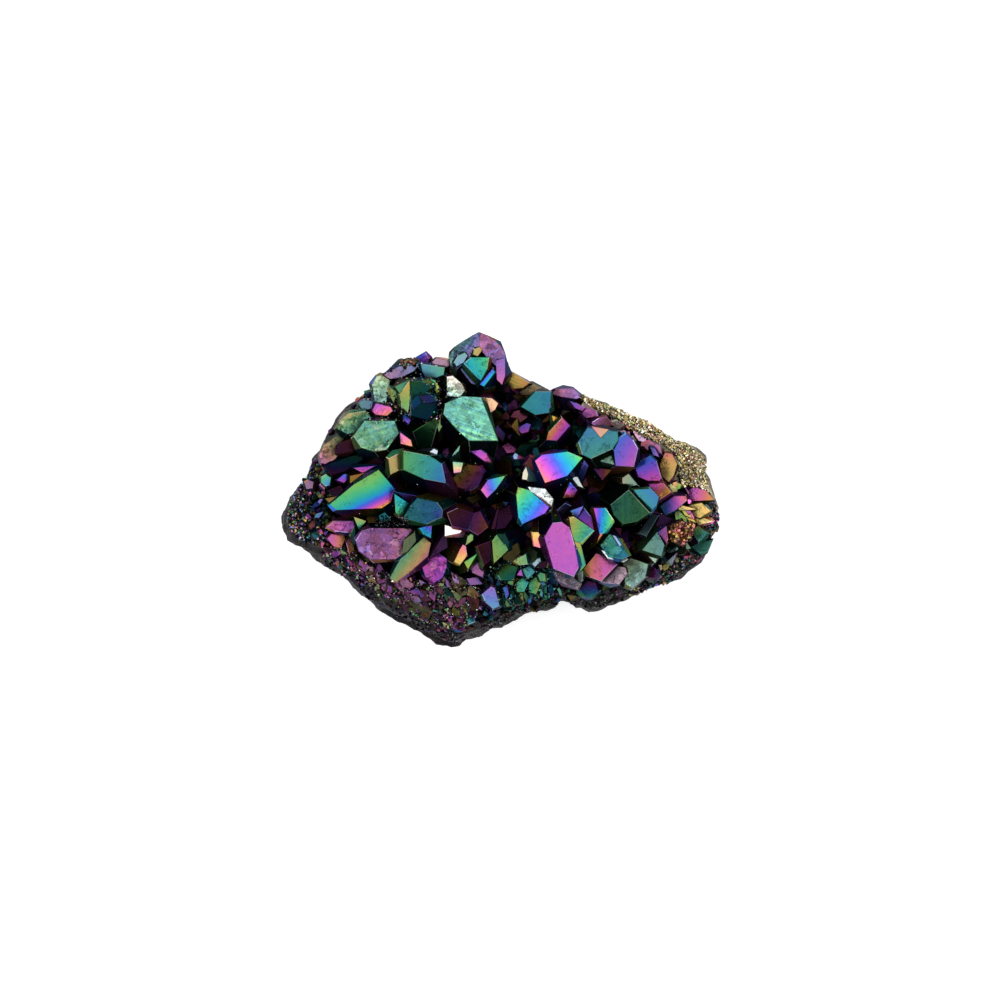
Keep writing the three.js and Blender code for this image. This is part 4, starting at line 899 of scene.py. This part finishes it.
# Cuts away what lies outside a face through a point, and closes the cut with a face of that kind.
def cutFace(bm, kindLayer, normal, point, kind):
    geometry = bm.verts[:] + bm.edges[:] + bm.faces[:]
    cut = bmesh.ops.bisect_plane(bm, geom=geometry, plane_co=point, plane_no=normal, clear_outer=True)
    edges = [g for g in cut["geom_cut"] if isinstance(g, bmesh.types.BMEdge)]
    if len(edges) < 3:
        return
    for face in bmesh.ops.contextual_create(bm, geom=edges)["faces"]:
        face[kindLayer] = kind
        face.normal_update()
        if face.normal.dot(normal) < 0:
            face.normal_flip()


def turnOfNextFace(direction):
    turns = crystals["turns"]
    for (low, lowTurn), (high, highTurn) in zip(turns, turns[1:]):
        if direction <= high:
            return lowTurn + (highTurn - lowTurn) * (direction - low) / (high - low)
    return turns[-1][1]


# One large crystal: the end face, the faces that meet its edges, and six prism faces around its axis.
def largeCrystal(tip, tilt, height, flank, flat):
    level, slope = levelTowards(math.radians(tip)), math.radians(tilt)
    normal = -math.sin(slope) * level + math.cos(slope) * up
    towardsTip = math.cos(slope) * level + math.sin(slope) * up
    axis = math.cos(crystals["toAxis"]) * normal + math.sin(crystals["toAxis"]) * towardsTip

    middle = middleOf(flat)
    centre = Vector((middle.x, middle.y, height * mm))
    root = min(crystals["root"], centre.z - crystals["shortest"])
    foot = centre - axis * ((centre.z - root) / axis.z)
    # near the rim the crystal stands on the rock below it, whichever way its face is turned
    share = reachShare(centre.x, centre.y)
    below = centre.xy * min(1, crystals["footReach"] / share)
    foot.xy = foot.xy.lerp(below, smoothStep(*crystals["upright"], share))
    outside = reachShare(foot.x, foot.y) / crystals["footReach"]
    foot.xy = foot.xy / max(1, outside)
    axis = (centre - foot).normalized()
    corners = []
    for p in flat:
        rise = (normal.x * (middle.x - p.x) + normal.y * (middle.y - p.y)) / normal.z
        corners.append(Vector((p.x, p.y, centre.z + rise)))

    bm = bmesh.new()
    coat = newCoat(bm)
    bmesh.ops.create_cube(bm, size=crystals["block"], matrix=Matrix.Translation(centre))
    for face in bm.faces:
        face[coat["kind"]] = prismFace
    cutFace(bm, coat["kind"], normal, centre, mainFace)
    for start, end in zip(corners, corners[1:] + corners[:1]):
        outward = (end - start).normalized().cross(normal)
        if outward.dot(start - centre) < 0:
            outward.negate()
        turn = math.radians(turnOfNextFace(math.degrees(outward.angle(towardsTip))))
        side = math.cos(turn) * normal + math.sin(turn) * outward
        cutFace(bm, coat["kind"], side, start, endFace)
    firstPrism = (normal - normal.dot(axis) * axis).normalized()
    for k in range(6):
        prism = Matrix.Rotation(k * math.pi / 3, 3, axis) @ firstPrism
        reach = max((p - centre).dot(prism) for p in corners)
        cutFace(bm, coat["kind"], prism, centre + prism * (reach + flank * mm), prismFace)
    cutFace(bm, coat["kind"], -up, up * root, prismFace)
    bmesh.ops.recalc_face_normals(bm, faces=bm.faces[:])
    return bm, coat, normal, axis


# Breaks the crystal's edges with a narrow flat, as worn and coated edges have.
def breakEdges(bm, coat):
    lowest = crystals["root"] + crystals["aboveRoot"]
    edges = [e for e in bm.edges if e.is_manifold and e.calc_face_angle() > crystals["sharp"]]
    edges = [e for e in edges if max(v.co.z for v in e.verts) > lowest]
    edges = [e for e in edges if e.calc_length() > crystals["smallestEdge"]]
    made = bmesh.ops.bevel(
        bm, geom=edges, offset=crystals["bevel"], offset_type="OFFSET", affect="EDGES",
        segments=1, profile=0.5, material=-1, clamp_overlap=True,
    )
    for face in made["faces"]:
        face[coat["kind"]] = edgeFace


# Splits the broad face into small triangles and lets them rise and fall.
def growUneven(bm, coat, normal, relief):
    def mainFaces():
        return [f for f in bm.faces if f[coat["kind"]] == mainFace]

    bmesh.ops.triangulate(bm, faces=mainFaces())
    for _ in range(crystals["splits"]):
        edges = eachOnce(e for f in mainFaces() for e in f.edges if e.calc_length() > crystals["step"])
        if not edges:
            break
        bmesh.ops.subdivide_edges(bm, edges=edges, cuts=1)
        bmesh.ops.triangulate(bm, faces=[f for f in mainFaces() if len(f.verts) > 3])
    for v in eachOnce(v for f in mainFaces() for v in f.verts):
        if any(f[coat["kind"]] != mainFace for f in v.link_faces):
            continue
        wave = sum(share * noise.noise(v.co * scale) for scale, share in crystals["waves"])
        v.co += normal * (wave * relief * mm)


def coatCrystal(bm, coat, name, flat, axis, film, paintedLight, pale, draw):
    start, end, run = film
    heading = levelTowards(math.radians(run)).xy
    spans = [p.dot(heading) for p in flat]
    low, span = min(spans), max(spans) - min(spans)
    bend = bends.get(name, 1)
    rough = uneven.get(name, (0, crystals["rough"]))[1]
    turn, lines = lined.get(name, (0, 0))
    across = levelTowards(math.radians(turn))
    middle = middleOf(flat)
    rim = smoothStep(*crystals["rim"], reachShare(middle.x, middle.y))
    top = max(v.co.z for v in bm.verts)
    # painted light left at the foot, more of it near the rim
    floorGlow = crystals["floorGlow"] + crystals["rimPaintedLight"] * rim

    def filmAt(place, shift=0, fall=0):
        part = min(crystals["filmEnd"], max(0, (place.xy.dot(heading) - low) / span))
        return start + (end - start) * part ** bend + shift + fall * (top - place.z)

    for face in bm.faces:
        kind = face[coat["kind"]]
        if kind == mainFace:
            paint(face, coat, filmAt, paintedLight, pale, rough, across, lines)
            continue
        # painted light and shade of the sides: less on steep sides and deep down, more on those facing up
        shift = draw.uniform(-1, 1) * crystals["sideShift"]
        fall = draw.uniform(-1, 1) * crystals["sideFall"]
        facing = smoothStep(*crystals["facingUp"], face.normal.z)
        share = draw.choice(crystals["sidePaintedLight"]) * mixOf(crystals["steepPaintedLight"], 1, facing)
        share *= shadedSides.get(name, 1)
        whiter, sideLines = pale * crystals["sidePale"], crystals["prismLines"] if kind == prismFace else 0
        # painted highlight on some broken edges
        if kind == edgeFace:
            bright = draw.random() < crystals["highlightedEdges"]
            shift, fall, share = crystals["edgeShift"], 0, crystals["edgePaintedLight"][bright]
            whiter = crystals["edgeHighlightPale"] if bright else pale

        def paintedLightAt(place, share=share):
            fade = max(floorGlow, 1 - (top - place.z) / crystals["deep"])
            return mixOf(crystals["leastPaintedLight"], 1, paintedLight) * share * fade

        def sideFilm(place, shift=shift, fall=fall):
            return filmAt(place, shift, fall)

        paint(face, coat, sideFilm, paintedLightAt, whiter, rough * crystals["sideRough"], axis, sideLines)


# Small pointed crystals

pointRise = math.tan(crystals["toAxis"]) * math.cos(math.pi / 6)  # height of a point for a radius of 1


# The same repeatable draws, from 0 to 1, that set the solid's small crystals.
def makeRandom(seed):
    state = seed

    def draw():
        nonlocal state
        state = state * 16807 % 2147483647
        return state / 2147483647

    return draw


# A six-sided prism with a point: the tip lies at the origin of its place.
def growPoint(bm, radius, length, place, apexShift=(0, 0)):
    middle = place @ Matrix.Translation((0, 0, -pointRise * radius - length / 2))
    made = bmesh.ops.create_cone(
        bm, cap_ends=True, cap_tris=False, segments=6,
        radius1=radius, radius2=radius, depth=length, matrix=middle,
    )["verts"]
    axis = place.to_3x3() @ up
    around = eachOnce(f for v in made for f in v.link_faces)
    for face in around:
        face.normal_update()
    top = max(around, key=lambda f: f.normal.dot(axis))
    foot = min(around, key=lambda f: f.normal.dot(axis))
    sides = [f for f in around if f is not top and f is not foot]
    bmesh.ops.delete(bm, geom=[foot], context="FACES_ONLY")
    poked = bmesh.ops.poke(bm, faces=[top], offset=pointRise * radius)
    tip = poked["verts"][0]
    tip.co += place.to_3x3() @ Vector((apexShift[0] * radius, apexShift[1] * radius, 0))
    for face in poked["faces"]:
        face.normal_update()
    return poked["faces"], sides


# Small points along the rim. The higher "rarer" is, the fewer of them get bright painted light.
bandPoints = {
    "seed": 2024, "lean": (12, 44), "spread": 0.8, "length": 4, "rarer": 2, "pale": 0.1,
    # films, painted light and change of film down a point, and the same on the golden side
    "plain": ((0.22, 0.26, 0.3, 0.72, 0.8, 0.6), (0.1, 0.7), 0.2),
    "gilt": ((0.92, 0.96, 1.0, 0.98, 0.1, 0.16), (0.4, 1.0), 0.04),
    # how many, from and to which corner of the outline, share of the reach, height above the rock
    # and radius in mm
    "bands": [
        (20, 43, 50, (0.62, 0.9), (0.8, 1.7), (0.8, 1.4)), (8, 50, 54, (0.78, 0.93), (0.6, 1.2), (0.7, 1.1)),
        (9, 2, 8, (0.82, 0.95), (0.5, 1.1), (0.7, 1.1)), (9, 19, 27, (0.86, 0.95), (0.5, 1), (0.7, 1.1)),
        (12, 32, 41, (0.8, 0.95), (0.5, 1.1), (0.7, 1.2)),
    ],
}
# the points in the gaps are dark with painted shade
gapPoints = {
    "seed": 808, "spacing": 4.1, "reach": 0.55, "top": (12.8, 15.2), "radius": (1.3, 2.1), "lean": (4, 24),
    "width": 59, "depth": 42.2, "length": 4, "paintedLight": (0.05, 0.08, 0.12, 0.4),
}


def rockHeight(share):
    upper = rock["profile"][2:6]
    for (outer, low), (inner, high) in zip(upper, upper[1:]):
        if share >= inner:
            return low + (high - low) * min(1, max(0, (outer - share) / (outer - inner)))
    return upper[-1][1]


# A point of a random size and turn, leaning in a heading: its radius and place.
def standingPoint(draw, x, y, height, radii, leans, heading):
    radius = mixOf(*radii, draw())
    roll = draw() * math.pi
    lean = math.radians(mixOf(*leans, draw()))
    turn = Matrix.Rotation(heading, 4, "Z") @ Matrix.Rotation(lean, 4, "Y") @ Matrix.Rotation(roll, 4, "Z")
    return radius * mm, Matrix.Translation((x * mm, y * mm, height * mm)) @ turn


def bandPlaces():
    draw = makeRandom(bandPoints["seed"])
    for count, first, last, reach, rise, radii in bandPoints["bands"]:
        for i in range(count):
            corner = first + (i + bandPoints["spread"] * draw()) / count * (last - first)
            start = outline[int(corner) % len(outline)]
            end = outline[(int(corner) + 1) % len(outline)]
            share = mixOf(*reach, draw())
            place = start.lerp(end, corner % 1) * share / mm
            height = rockHeight(share) + mixOf(*rise, draw())
            heading = math.atan2(place.y, place.x) + draw() - 0.5
            yield standingPoint(draw, place.x, place.y, height, radii, bandPoints["lean"], heading)


def gapPlaces():
    draw = makeRandom(gapPoints["seed"])
    spacing, reach = gapPoints["spacing"], gapPoints["reach"]
    width, depth = gapPoints["width"], gapPoints["depth"]
    x = -width / 2 * reach
    while x < width / 2 * reach:
        y = -depth / 2 * reach
        while y < depth / 2 * reach:
            px, py = x + draw() * spacing, y + draw() * spacing
            share = math.hypot(px / (width / 2), py / (depth / 2))
            height = mixOf(*gapPoints["top"], draw())
            if share <= reach:
                heading = draw() * 2 * math.pi
                yield standingPoint(draw, px, py, height, gapPoints["radius"], gapPoints["lean"], heading)
            y += spacing
        x += spacing


pointCoat = {
    # painted light and shade of small points: how far a face looks outward sets it
    "facing": (0.35, 0.95), "turnedAway": 0.14, "paintedLight": (0.5, 1.2), "film": (-0.06, 0.06), "rough": 0.12,
    # sideLook: its second value is the painted light left on a point's sides
    "sideLook": (0.2, 0.35),  # how far the film changes down a point and how bright its sides are
}


# Coats a small point: faces that look outward get painted light, those turned away and its sides painted
# shade, and the film changes down its length.
def coatPoint(ends, sides, coat, draw, outward, radius, film, paintedLight, pale, sideLook=pointCoat["sideLook"]):
    change, sideShare = sideLook
    top = max(loop.vert.co.dot(outward) for face in ends for loop in face.loops)
    slope = draw.uniform(-1, 1) * change / radius
    for face in ends + sides:
        facing = smoothStep(*pointCoat["facing"], face.normal.dot(outward))
        bright = paintedLight * mixOf(pointCoat["turnedAway"], 1, facing) * draw.uniform(*pointCoat["paintedLight"])
        if face in sides:
            bright *= sideShare
        shift = film + draw.uniform(*pointCoat["film"])

        def filmAt(place, shift=shift):
            return shift + slope * min(2 * radius, top - place.dot(outward))

        paint(face, coat, filmAt, bright, pale, pointCoat["rough"])


# The points in the gaps and along the rim that the solid has too.
def growStanding(whole, draw):
    bm = bmesh.new()
    coat = newCoat(bm)
    for radius, place in gapPlaces():
        ends, sides = growPoint(bm, radius, gapPoints["length"] * radius, place)
        paintedLight = draw.choice(gapPoints["paintedLight"])
        coatPoint(ends, sides, coat, draw, up, radius, draw.random(), paintedLight, 0)
    sideShare = pointCoat["sideLook"][1]
    for radius, place in bandPlaces():
        outward = (place.to_3x3() @ up + up).normalized()
        ends, sides = growPoint(bm, radius, bandPoints["length"] * radius, place)
        where = place.to_translation()
        films, paintedLights, change = bandPoints["gilt" if giltAt(where.x, where.y) > 0.5 else "plain"]
        film = draw.choice(films)
        paintedLight = mixOf(*paintedLights, draw.random() ** bandPoints["rarer"])
        sideLook = change, sideShare
        coatPoint(ends, sides, coat, draw, outward, radius, film, paintedLight, bandPoints["pale"], sideLook)
    addTo(whole, bm)


# What the smaller crystals and the crust share

rayStart = 50 * mm
anyFilm = [(1, 0, 1)]
# in the picture, as the corners of the faces
areas = {
    "lowerLeft": [(318, 548), (345, 545), (362, 560), (392, 574), (420, 583), (455, 575), (482, 590),
                  (480, 612), (462, 630), (440, 632), (400, 608), (350, 576), (325, 562)],
    "lowerCentre": [(484, 566), (500, 560), (560, 566), (560, 592), (520, 604), (484, 604)],
}


# A place in the box around an area.
def drawPlace(draw, area):
    box = [(min(side), max(side)) for side in zip(*area)]
    return Vector([draw.uniform(*side) for side in box])


# A place along the film, out of kinds with a weight each.
def drawFilm(draw, films):
    _, low, high = draw.choices(films, weights=[f[0] for f in films])[0]
    return draw.uniform(low, high)


def insideArea(p, area):
    inside = False
    for a, b in zip(area, area[1:] + area[:1]):
        if (a.y > p.y) != (b.y > p.y) and p.x < a.x + (p.y - a.y) / (b.y - a.y) * (b.x - a.x):
            inside = not inside
    return inside


# Smaller crystals between the large ones, each led by an end face of a random shape

fillers = {
    "seed": 5, "apart": 0.7, "tries": 30, "corners": (3, 4, 4, 5, 5), "jitter": 0.38, "flank": 0.1,
    "lift": 1.4, "within": 0.93, "change": 0.14, "smaller": 1.5,
    # area in the picture, how many, half width in mm, greatest length for a width of 1, its direction
    # and spread in degrees, height in mm above the floor or the rock, tilt in degrees, kinds of film
    # (weight, from, to), painted light and shade, how rare the brightly painted ones are, paleness
    # The top left finds no free place, but what follows depends on its draws.
    "zones": {
        "lowerLeftPlates": ([(330, 556), (362, 562), (392, 580), (420, 587), (455, 580), (478, 592),
                             (476, 606), (455, 620), (402, 600), (352, 574)], 70, (0.6, 1.2), 2.4,
                            (-50, 30), "rock", (1.2, 2.6), (4, 30),
                            [(8, 0.19, 0.26), (3, 0.86, 0.96), (1, 0.1, 0.16)], (0.06, 0.48), 1.5, 0.2),
        "lowerLeft": ([(322, 550), (345, 548), (362, 560), (392, 577), (420, 585), (455, 577), (482, 592),
                       (480, 606), (466, 624), (446, 630), (402, 608), (352, 577), (325, 562)], 420,
                      (0.2, 0.6), 3, (-50, 35), "rock", (0.7, 2.2), (4, 36),
                      [(8, 0.19, 0.26), (3, 0.86, 0.96), (1, 0.1, 0.16), (1, 0.6, 0.76)], (0.02, 0.55),
                      1.8, 0.2),
        "leftEdge": ([(300, 505), (308, 482), (320, 466), (334, 470), (340, 500), (335, 520), (310, 525)],
                     40, (0.18, 0.4), 2.4, (0, 90), "rock", (0.6, 1.4), (6, 34), anyFilm, (0.02, 0.7),
                     2.2, 0.1),
        "rightRidge": ([(662, 480), (684, 486), (698, 490), (714, 496), (714, 528), (690, 530), (662, 502)],
                       110, (0.3, 0.9), 3, (-35, 35), "rock", (1.4, 3.2), (4, 24),
                       [(8, 0.86, 1.0), (3, 0.08, 0.22), (1, 0.3, 0.5)], (0.5, 1.3), 1, 0.1),
        "upperRidge": ([(570, 396), (600, 408), (640, 430), (664, 446), (655, 455), (636, 440), (600, 424)],
                       50, (0.25, 0.6), 2.4, (-30, 30), "rock", (1.4, 2.8), (4, 24),
                       [(5, 0.06, 0.2), (3, 0.92, 1.04)], (0.4, 1), 1, 0.4),
        "rightFoot": ([(640, 560), (664, 545), (690, 540), (716, 535), (706, 556), (680, 570), (650, 586),
                       (636, 590)], 40, (0.35, 0.8), 2.2, (0, 90), "rock", (0.9, 2.2), (6, 30),
                      [(3, 0.5, 0.76), (3, 0.12, 0.3), (2, 0.9, 1.04)], (0.04, 0.65), 1.5, 0.25),
        "lowerCentre": (areas["lowerCentre"], 150, (0.2, 0.6), 3.4, (-80, 25), "rock", (0.9, 2.6), (4, 28),
                        [(5, 0.56, 0.8), (3, 0.4, 0.54)], (0.03, 0.5), 1.8, 0.1),
        "topLeft": ([(348, 412), (379, 378), (396, 366), (446, 366), (446, 376), (404, 382), (380, 404),
                     (352, 430)], 50, (0.35, 0.9), 2.4, (45, 30), "rock", (1.4, 3.4), (6, 26),
                    [(4, 0.6, 0.86), (3, 0.14, 0.3), (1, 0.9, 1.0)], (0.1, 0.6), 1, 0.35),
        # the gaps' crystals: mostly dark with painted shade, a rare few with painted glints
        "gaps": ([(318, 470), (345, 420), (390, 380), (500, 372), (585, 402), (630, 440), (664, 480),
                  (690, 540), (640, 570), (580, 575), (500, 560), (440, 560), (350, 540)], 170, (0.4, 1.4),
                 2.8, (0, 90), "floor", (12.2, 15.8), (16, 46), [(3, 0.02, 0.3), (2, 0.3, 0.7), (1, 0.7, 1)],
                 (0.035, 0.55), 6, 0.05),
    },
}


# A random outline with its corners on an ellipse, so that it stays convex.
def randomOutline(draw, middle, radius, stretch, run):
    count = draw.choice(fillers["corners"])
    start, length = draw.uniform(0, 2 * math.pi), draw.uniform(1, stretch)
    turn = math.radians(run[0] + draw.uniform(-1, 1) * run[1])
    flat = []
    for k in range(count):
        angle = start + (k + draw.uniform(-1, 1) * fillers["jitter"]) * 2 * math.pi / count
        corner = Vector((math.cos(angle) * radius * length, math.sin(angle) * radius))
        flat.append(middle + Matrix.Rotation(turn, 2) @ corner)
    return flat


def fillZone(whole, tree, draw, name):
    zone = fillers["zones"][name]
    corners, count, radii, stretch, run, base, heights, tilts, films, paintedLights, rare, pale = zone
    area = [toModel(corner) for corner in corners]
    placed = []
    for _ in range(count * fillers["tries"]):
        if len(placed) == count:
            break
        p = drawPlace(draw, area)
        radius = mixOf(*radii, draw.random() ** fillers["smaller"]) * mm
        height = draw.uniform(*heights)
        if base == "rock":
            height += rockHeight(reachShare(p.x, p.y))
        if not insideArea(p, area):
            continue
        flat = randomOutline(draw, p, radius, stretch, run)
        if any(reachShare(corner.x, corner.y) > fillers["within"] for corner in flat):
            continue
        if any((p - q).length < (radius + r) * fillers["apart"] for q, r in placed):
            continue
        hit, _, _, _ = tree.ray_cast(Vector((p.x, p.y, rayStart)), -up)
        if hit is not None and hit.z > (height - fillers["lift"]) * mm:
            continue
        placed.append((p, radius))
        tip = draw.uniform(0, 360)
        bm, coat, _, axis = largeCrystal(tip, draw.uniform(*tilts), height, fillers["flank"], flat)
        bm.normal_update()
        film = drawFilm(draw, films)
        film = (film, film + draw.uniform(-1, 1) * fillers["change"], draw.uniform(0, 360))
        paintedLight = mixOf(*paintedLights, draw.random() ** rare)
        coatCrystal(bm, coat, name, flat, axis, film, paintedLight, pale * 2 * draw.random(), draw)
        addTo(whole, bm)
    return len(placed)


def growLarge(whole, draw):
    for name, (tip, tilt, height, flank, corners, start, end, run, paintedLight, pale) in faces.items():
        flat = [toModel(corner) for corner in corners]
        bm, coat, normal, axis = largeCrystal(tip, tilt, height, flank, flat)
        breakEdges(bm, coat)
        if name in uneven or name in bends:
            growUneven(bm, coat, normal, uneven.get(name, (crystals["relief"], 0))[0])
        bm.normal_update()
        coatCrystal(bm, coat, name, flat, axis, (start, end, run), paintedLight, pale, draw)
        addTo(whole, bm)
    print(f"large crystals: {len(faces)}")


def makeCrystals(material):
    whole = bmesh.new()
    newCoat(whole)
    growLarge(whole, random.Random(crystals["seed"]))
    tree = BVHTree.FromBMesh(whole)
    draw = random.Random(fillers["seed"])
    for name in fillers["zones"]:
        print(f"smaller crystals {name}: {fillZone(whole, tree, draw, name)}")
    growStanding(whole, draw)
    piece = meshObject("crystals", whole)
    piece.data.shade_smooth()
    piece.data.set_sharp_from_angle(angle=crystals["creases"])
    piece.data.materials.append(material)
    return piece


# Druse: the crust of very small crystals between and around the large ones

druse = {
    "seed": 29, "tries": 4, "batch": 200, "steep": 0.8, "within": 0.99, "lowest": 7.2 * mm,
    "length": 3.5, "lift": 0.35, "upward": 0.8, "apex": (-0.5, 0.5), "smaller": 1.6, "rarer": 2.5,
    # the zones whose points change less or have more painted light on their sides
    "sideLooks": {"rightGold": (0.03, 0.9), "topKnob": (0.05, 0.35), "rightKnob": (0.05, 0.35)},
    # area in the picture, what it stands on, how many, radius in mm, greatest lean in degrees,
    # kinds of film (weight, from, to), painted light and shade (above 1 a painted sparkle), paleness
    "zones": {
        "leftSparkle": ([(286, 520), (291, 497), (303, 478), (314, 462), (334, 470), (345, 500), (345, 520),
                         (326, 548), (300, 540), (290, 530)], "rock", 750, (0.1, 0.28), 40, anyFilm,
                        (0.02, 1.3), 0.25),
        "lowerLeft": (areas["lowerLeft"], "rock", 900, (0.15, 0.4), 45,
                      [(5, 0.17, 0.33), (3, 0.66, 0.84), (1, 0.9, 1.1)], (0.05, 0.8), 0.2),
        "lowerLeftRim": ([(318, 562), (350, 580), (400, 612), (440, 632), (462, 630), (466, 640), (440, 645),
                          (395, 622), (345, 592), (318, 572)], "rock", 500, (0.1, 0.22), 50,
                         [(2, 0.15, 0.3), (1, 0, 1)], (0.02, 0.3), 0.6),
        "rightGold": ([(575, 391), (600, 396), (624, 405), (672, 430), (708, 453), (716, 480), (718, 500),
                       (703, 488), (682, 486), (678, 455), (664, 444), (645, 437), (627, 425), (608, 415),
                       (585, 402)], "all", 4200, (0.1, 0.24), 40,
                      [(10, 0.88, 1.0), (1, 0.84, 0.9), (1, 0.06, 0.12)], (0.7, 2.8), 0.32),
        "rightRim": ([(690, 495), (716, 500), (720, 530), (704, 560), (690, 572), (680, 560), (690, 545)],
                     "rock", 500, (0.12, 0.32), 50, [(3, 0.5, 0.75), (3, 0.14, 0.3), (2, 0.9, 1.05)],
                     (0.05, 0.7), 0.2),
        "bottomRim": ([(480, 600), (552, 590), (570, 598), (640, 588), (690, 566), (706, 556), (690, 572),
                       (668, 588), (617, 605), (576, 610), (552, 606), (506, 622), (481, 634)], "rock", 900,
                      (0.1, 0.25), 50, [(3, 0.62, 0.8), (3, 0.16, 0.32)], (0.02, 0.35), 0.5),
        "lowerCentre": ([(500, 575), (560, 568), (560, 592), (520, 606), (490, 606)], "rock", 260,
                        (0.25, 0.6), 40, [(5, 0.56, 0.8), (2, 0.4, 0.54)], (0.05, 0.6), 0.1),
        "topLeft": ([(345, 418), (379, 378), (396, 366), (430, 361), (446, 364), (446, 372), (400, 380),
                     (372, 404), (345, 432)], "rock", 420, (0.15, 0.4), 40,
                    [(3, 0.6, 0.86), (3, 0.1, 0.36), (1, 0.9, 1.1)], (0.05, 0.9), 0.25),
        "topKnob": ([(398, 356), (408, 353), (418, 357), (417, 364), (404, 366)], "all", 70, (0.15, 0.32), 40,
                    [(3, 0.08, 0.2), (2, 0.9, 1.0)], (0.1, 0.9), 0.2),
        "rightKnob": ([(669, 533), (673, 524), (681, 521), (690, 525), (693, 533), (689, 541), (680, 544),
                       (671, 541)], "all", 190, (0.12, 0.3), 40, [(5, 0.03, 0.12), (1, 0.95, 1)],
                      (0.2, 1.5), 0.1),
        "darkCrust": ([(374, 516), (408, 515), (410, 527), (376, 527)], "all", 350, (0.06, 0.14), 45,
                      anyFilm, (0.02, 0.5), 0.6),
        "betweenAll": ([(300, 470), (345, 405), (400, 362), (500, 374), (575, 398), (605, 428), (650, 452),
                        (668, 486), (712, 538), (640, 590), (560, 600), (460, 630), (330, 560)], "rock",
                       1500, (0.2, 0.6), 30, anyFilm, (0.01, 0.6), 0.05),
        # painted glints: small bright points on the steep sides
        "sideSparks": ([(300, 470), (345, 405), (400, 362), (500, 374), (600, 402), (700, 455), (715, 530),
                        (640, 590), (560, 600), (460, 620), (330, 550)], "sides", 130, (0.06, 0.12), 20,
                       anyFilm, (0.2, 1.6), 0.4),
        "rightFoot": ([(632, 586), (664, 562), (690, 554), (714, 540), (706, 560), (688, 576), (668, 588),
                       (634, 600)], "rock", 600, (0.12, 0.34), 45,
                      [(3, 0.5, 0.76), (3, 0.12, 0.3), (2, 0.9, 1.04)], (0.05, 0.9), 0.3),
        "lowerLeftSides": (areas["lowerLeft"], "sides", 1000, (0.07, 0.18), 45,
                           [(4, 0.12, 0.33), (4, 0.66, 0.9), (1, 0.9, 1.1)], (0.12, 1.9), 0.35),
        "lowerCentreSides": (areas["lowerCentre"], "sides", 260, (0.07, 0.18), 45,
                             [(5, 0.56, 0.84), (2, 0.4, 0.54)], (0.08, 1.2), 0.2),
        "topLeftSides": ([(345, 440), (350, 415), (379, 378), (398, 362), (446, 364), (448, 396), (440, 425),
                          (400, 425)], "sides", 300, (0.07, 0.18), 40, anyFilm, (0.1, 1.8), 0.4),
    },
}


# Where a small crystal stands at a place seen from above: the point and the surface's direction.
def standAt(p, radius, where, rockTree, crystalTree):
    above = Vector((p.x, p.y, rayStart))
    ground, slope, _, _ = rockTree.ray_cast(above, -up)
    hit, face, _, _ = crystalTree.ray_cast(above, -up)
    covered = hit is not None and (ground is None or hit.z > ground.z + 2 * radius)
    if not covered:
        bare = ground is None or ground.z < druse["lowest"]
        return None if bare or where == "sides" else (ground, slope)
    if where == "rock" or where == "sides" and face.z > druse["steep"]:
        return None
    return hit, face


def growDruse(whole, trees, draw, name):
    corners, where, count, radii, spread, films, paintedLights, pale = druse["zones"][name]
    area = [toModel(corner) for corner in corners]
    sideLook = druse["sideLooks"].get(name, pointCoat["sideLook"])
    bm = bmesh.new()
    coat = newCoat(bm)
    grown = 0
    for _ in range(count * druse["tries"]):
        if grown == count:
            break
        p = drawPlace(draw, area)
        radius = mixOf(*radii, draw.random() ** druse["smaller"]) * mm
        stand = standAt(p, radius, where, *trees) if insideArea(p, area) else None
        if stand is None or reachShare(p.x, p.y) > druse["within"]:
            continue
        grown += 1
        ground, normal = stand
        outward = (normal + druse["upward"] * up).normalized()
        lean = math.radians(draw.uniform(0, spread))
        aside = Matrix.Rotation(draw.uniform(0, 2 * math.pi), 4, "Z") @ Matrix.Rotation(lean, 4, "Y")
        turn = outward.to_track_quat("Z", "Y").to_matrix().to_4x4() @ aside
        turn = turn @ Matrix.Rotation(draw.uniform(0, math.pi), 4, "Z")
        tip = ground + outward * radius * (pointRise + druse["lift"])
        shift = (draw.uniform(*druse["apex"]), draw.uniform(*druse["apex"]))
        ends, sides = growPoint(bm, radius, druse["length"] * radius, Matrix.Translation(tip) @ turn, shift)
        film = drawFilm(draw, films)
        paintedLight = mixOf(*paintedLights, draw.random() ** druse["rarer"])
        coatPoint(ends, sides, coat, draw, outward, radius, film, paintedLight, pale * draw.random() * 2, sideLook)
        if grown % druse["batch"] == 0:
            addTo(whole, bm)
            bm = bmesh.new()
            coat = newCoat(bm)
    addTo(whole, bm)
    return grown


def makeDruse(material, rockPiece, crystalPiece):
    draw = random.Random(druse["seed"])
    graph = bpy.context.evaluated_depsgraph_get()
    trees = BVHTree.FromObject(rockPiece, graph), BVHTree.FromObject(crystalPiece, graph)
    whole = bmesh.new()
    newCoat(whole)
    for name in druse["zones"]:
        print(f"druse {name}: {growDruse(whole, trees, draw, name)}")
    piece = meshObject("druse", whole)
    piece.data.materials.append(material)
    return piece


print("camera, light and floor")
makeCamera()
makeSky()
makeSoftboxes()
makeFloor()

print("rock")
coatFilm = coatMaterial()
rockPiece = makeRock(rockMaterial())
print("crystals")
crystalPiece = makeCrystals(coatFilm)
print("druse")
drusePiece = makeDruse(coatFilm, rockPiece, crystalPiece)

for piece, slot in ((rockPiece, "rock"), (crystalPiece, "coated_quartz"), (drusePiece, "coated_quartz")):
    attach(piece, "root")
    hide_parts(clusterNode)

bpy.context.scene.view_settings.view_transform = "Standard"
print("done")
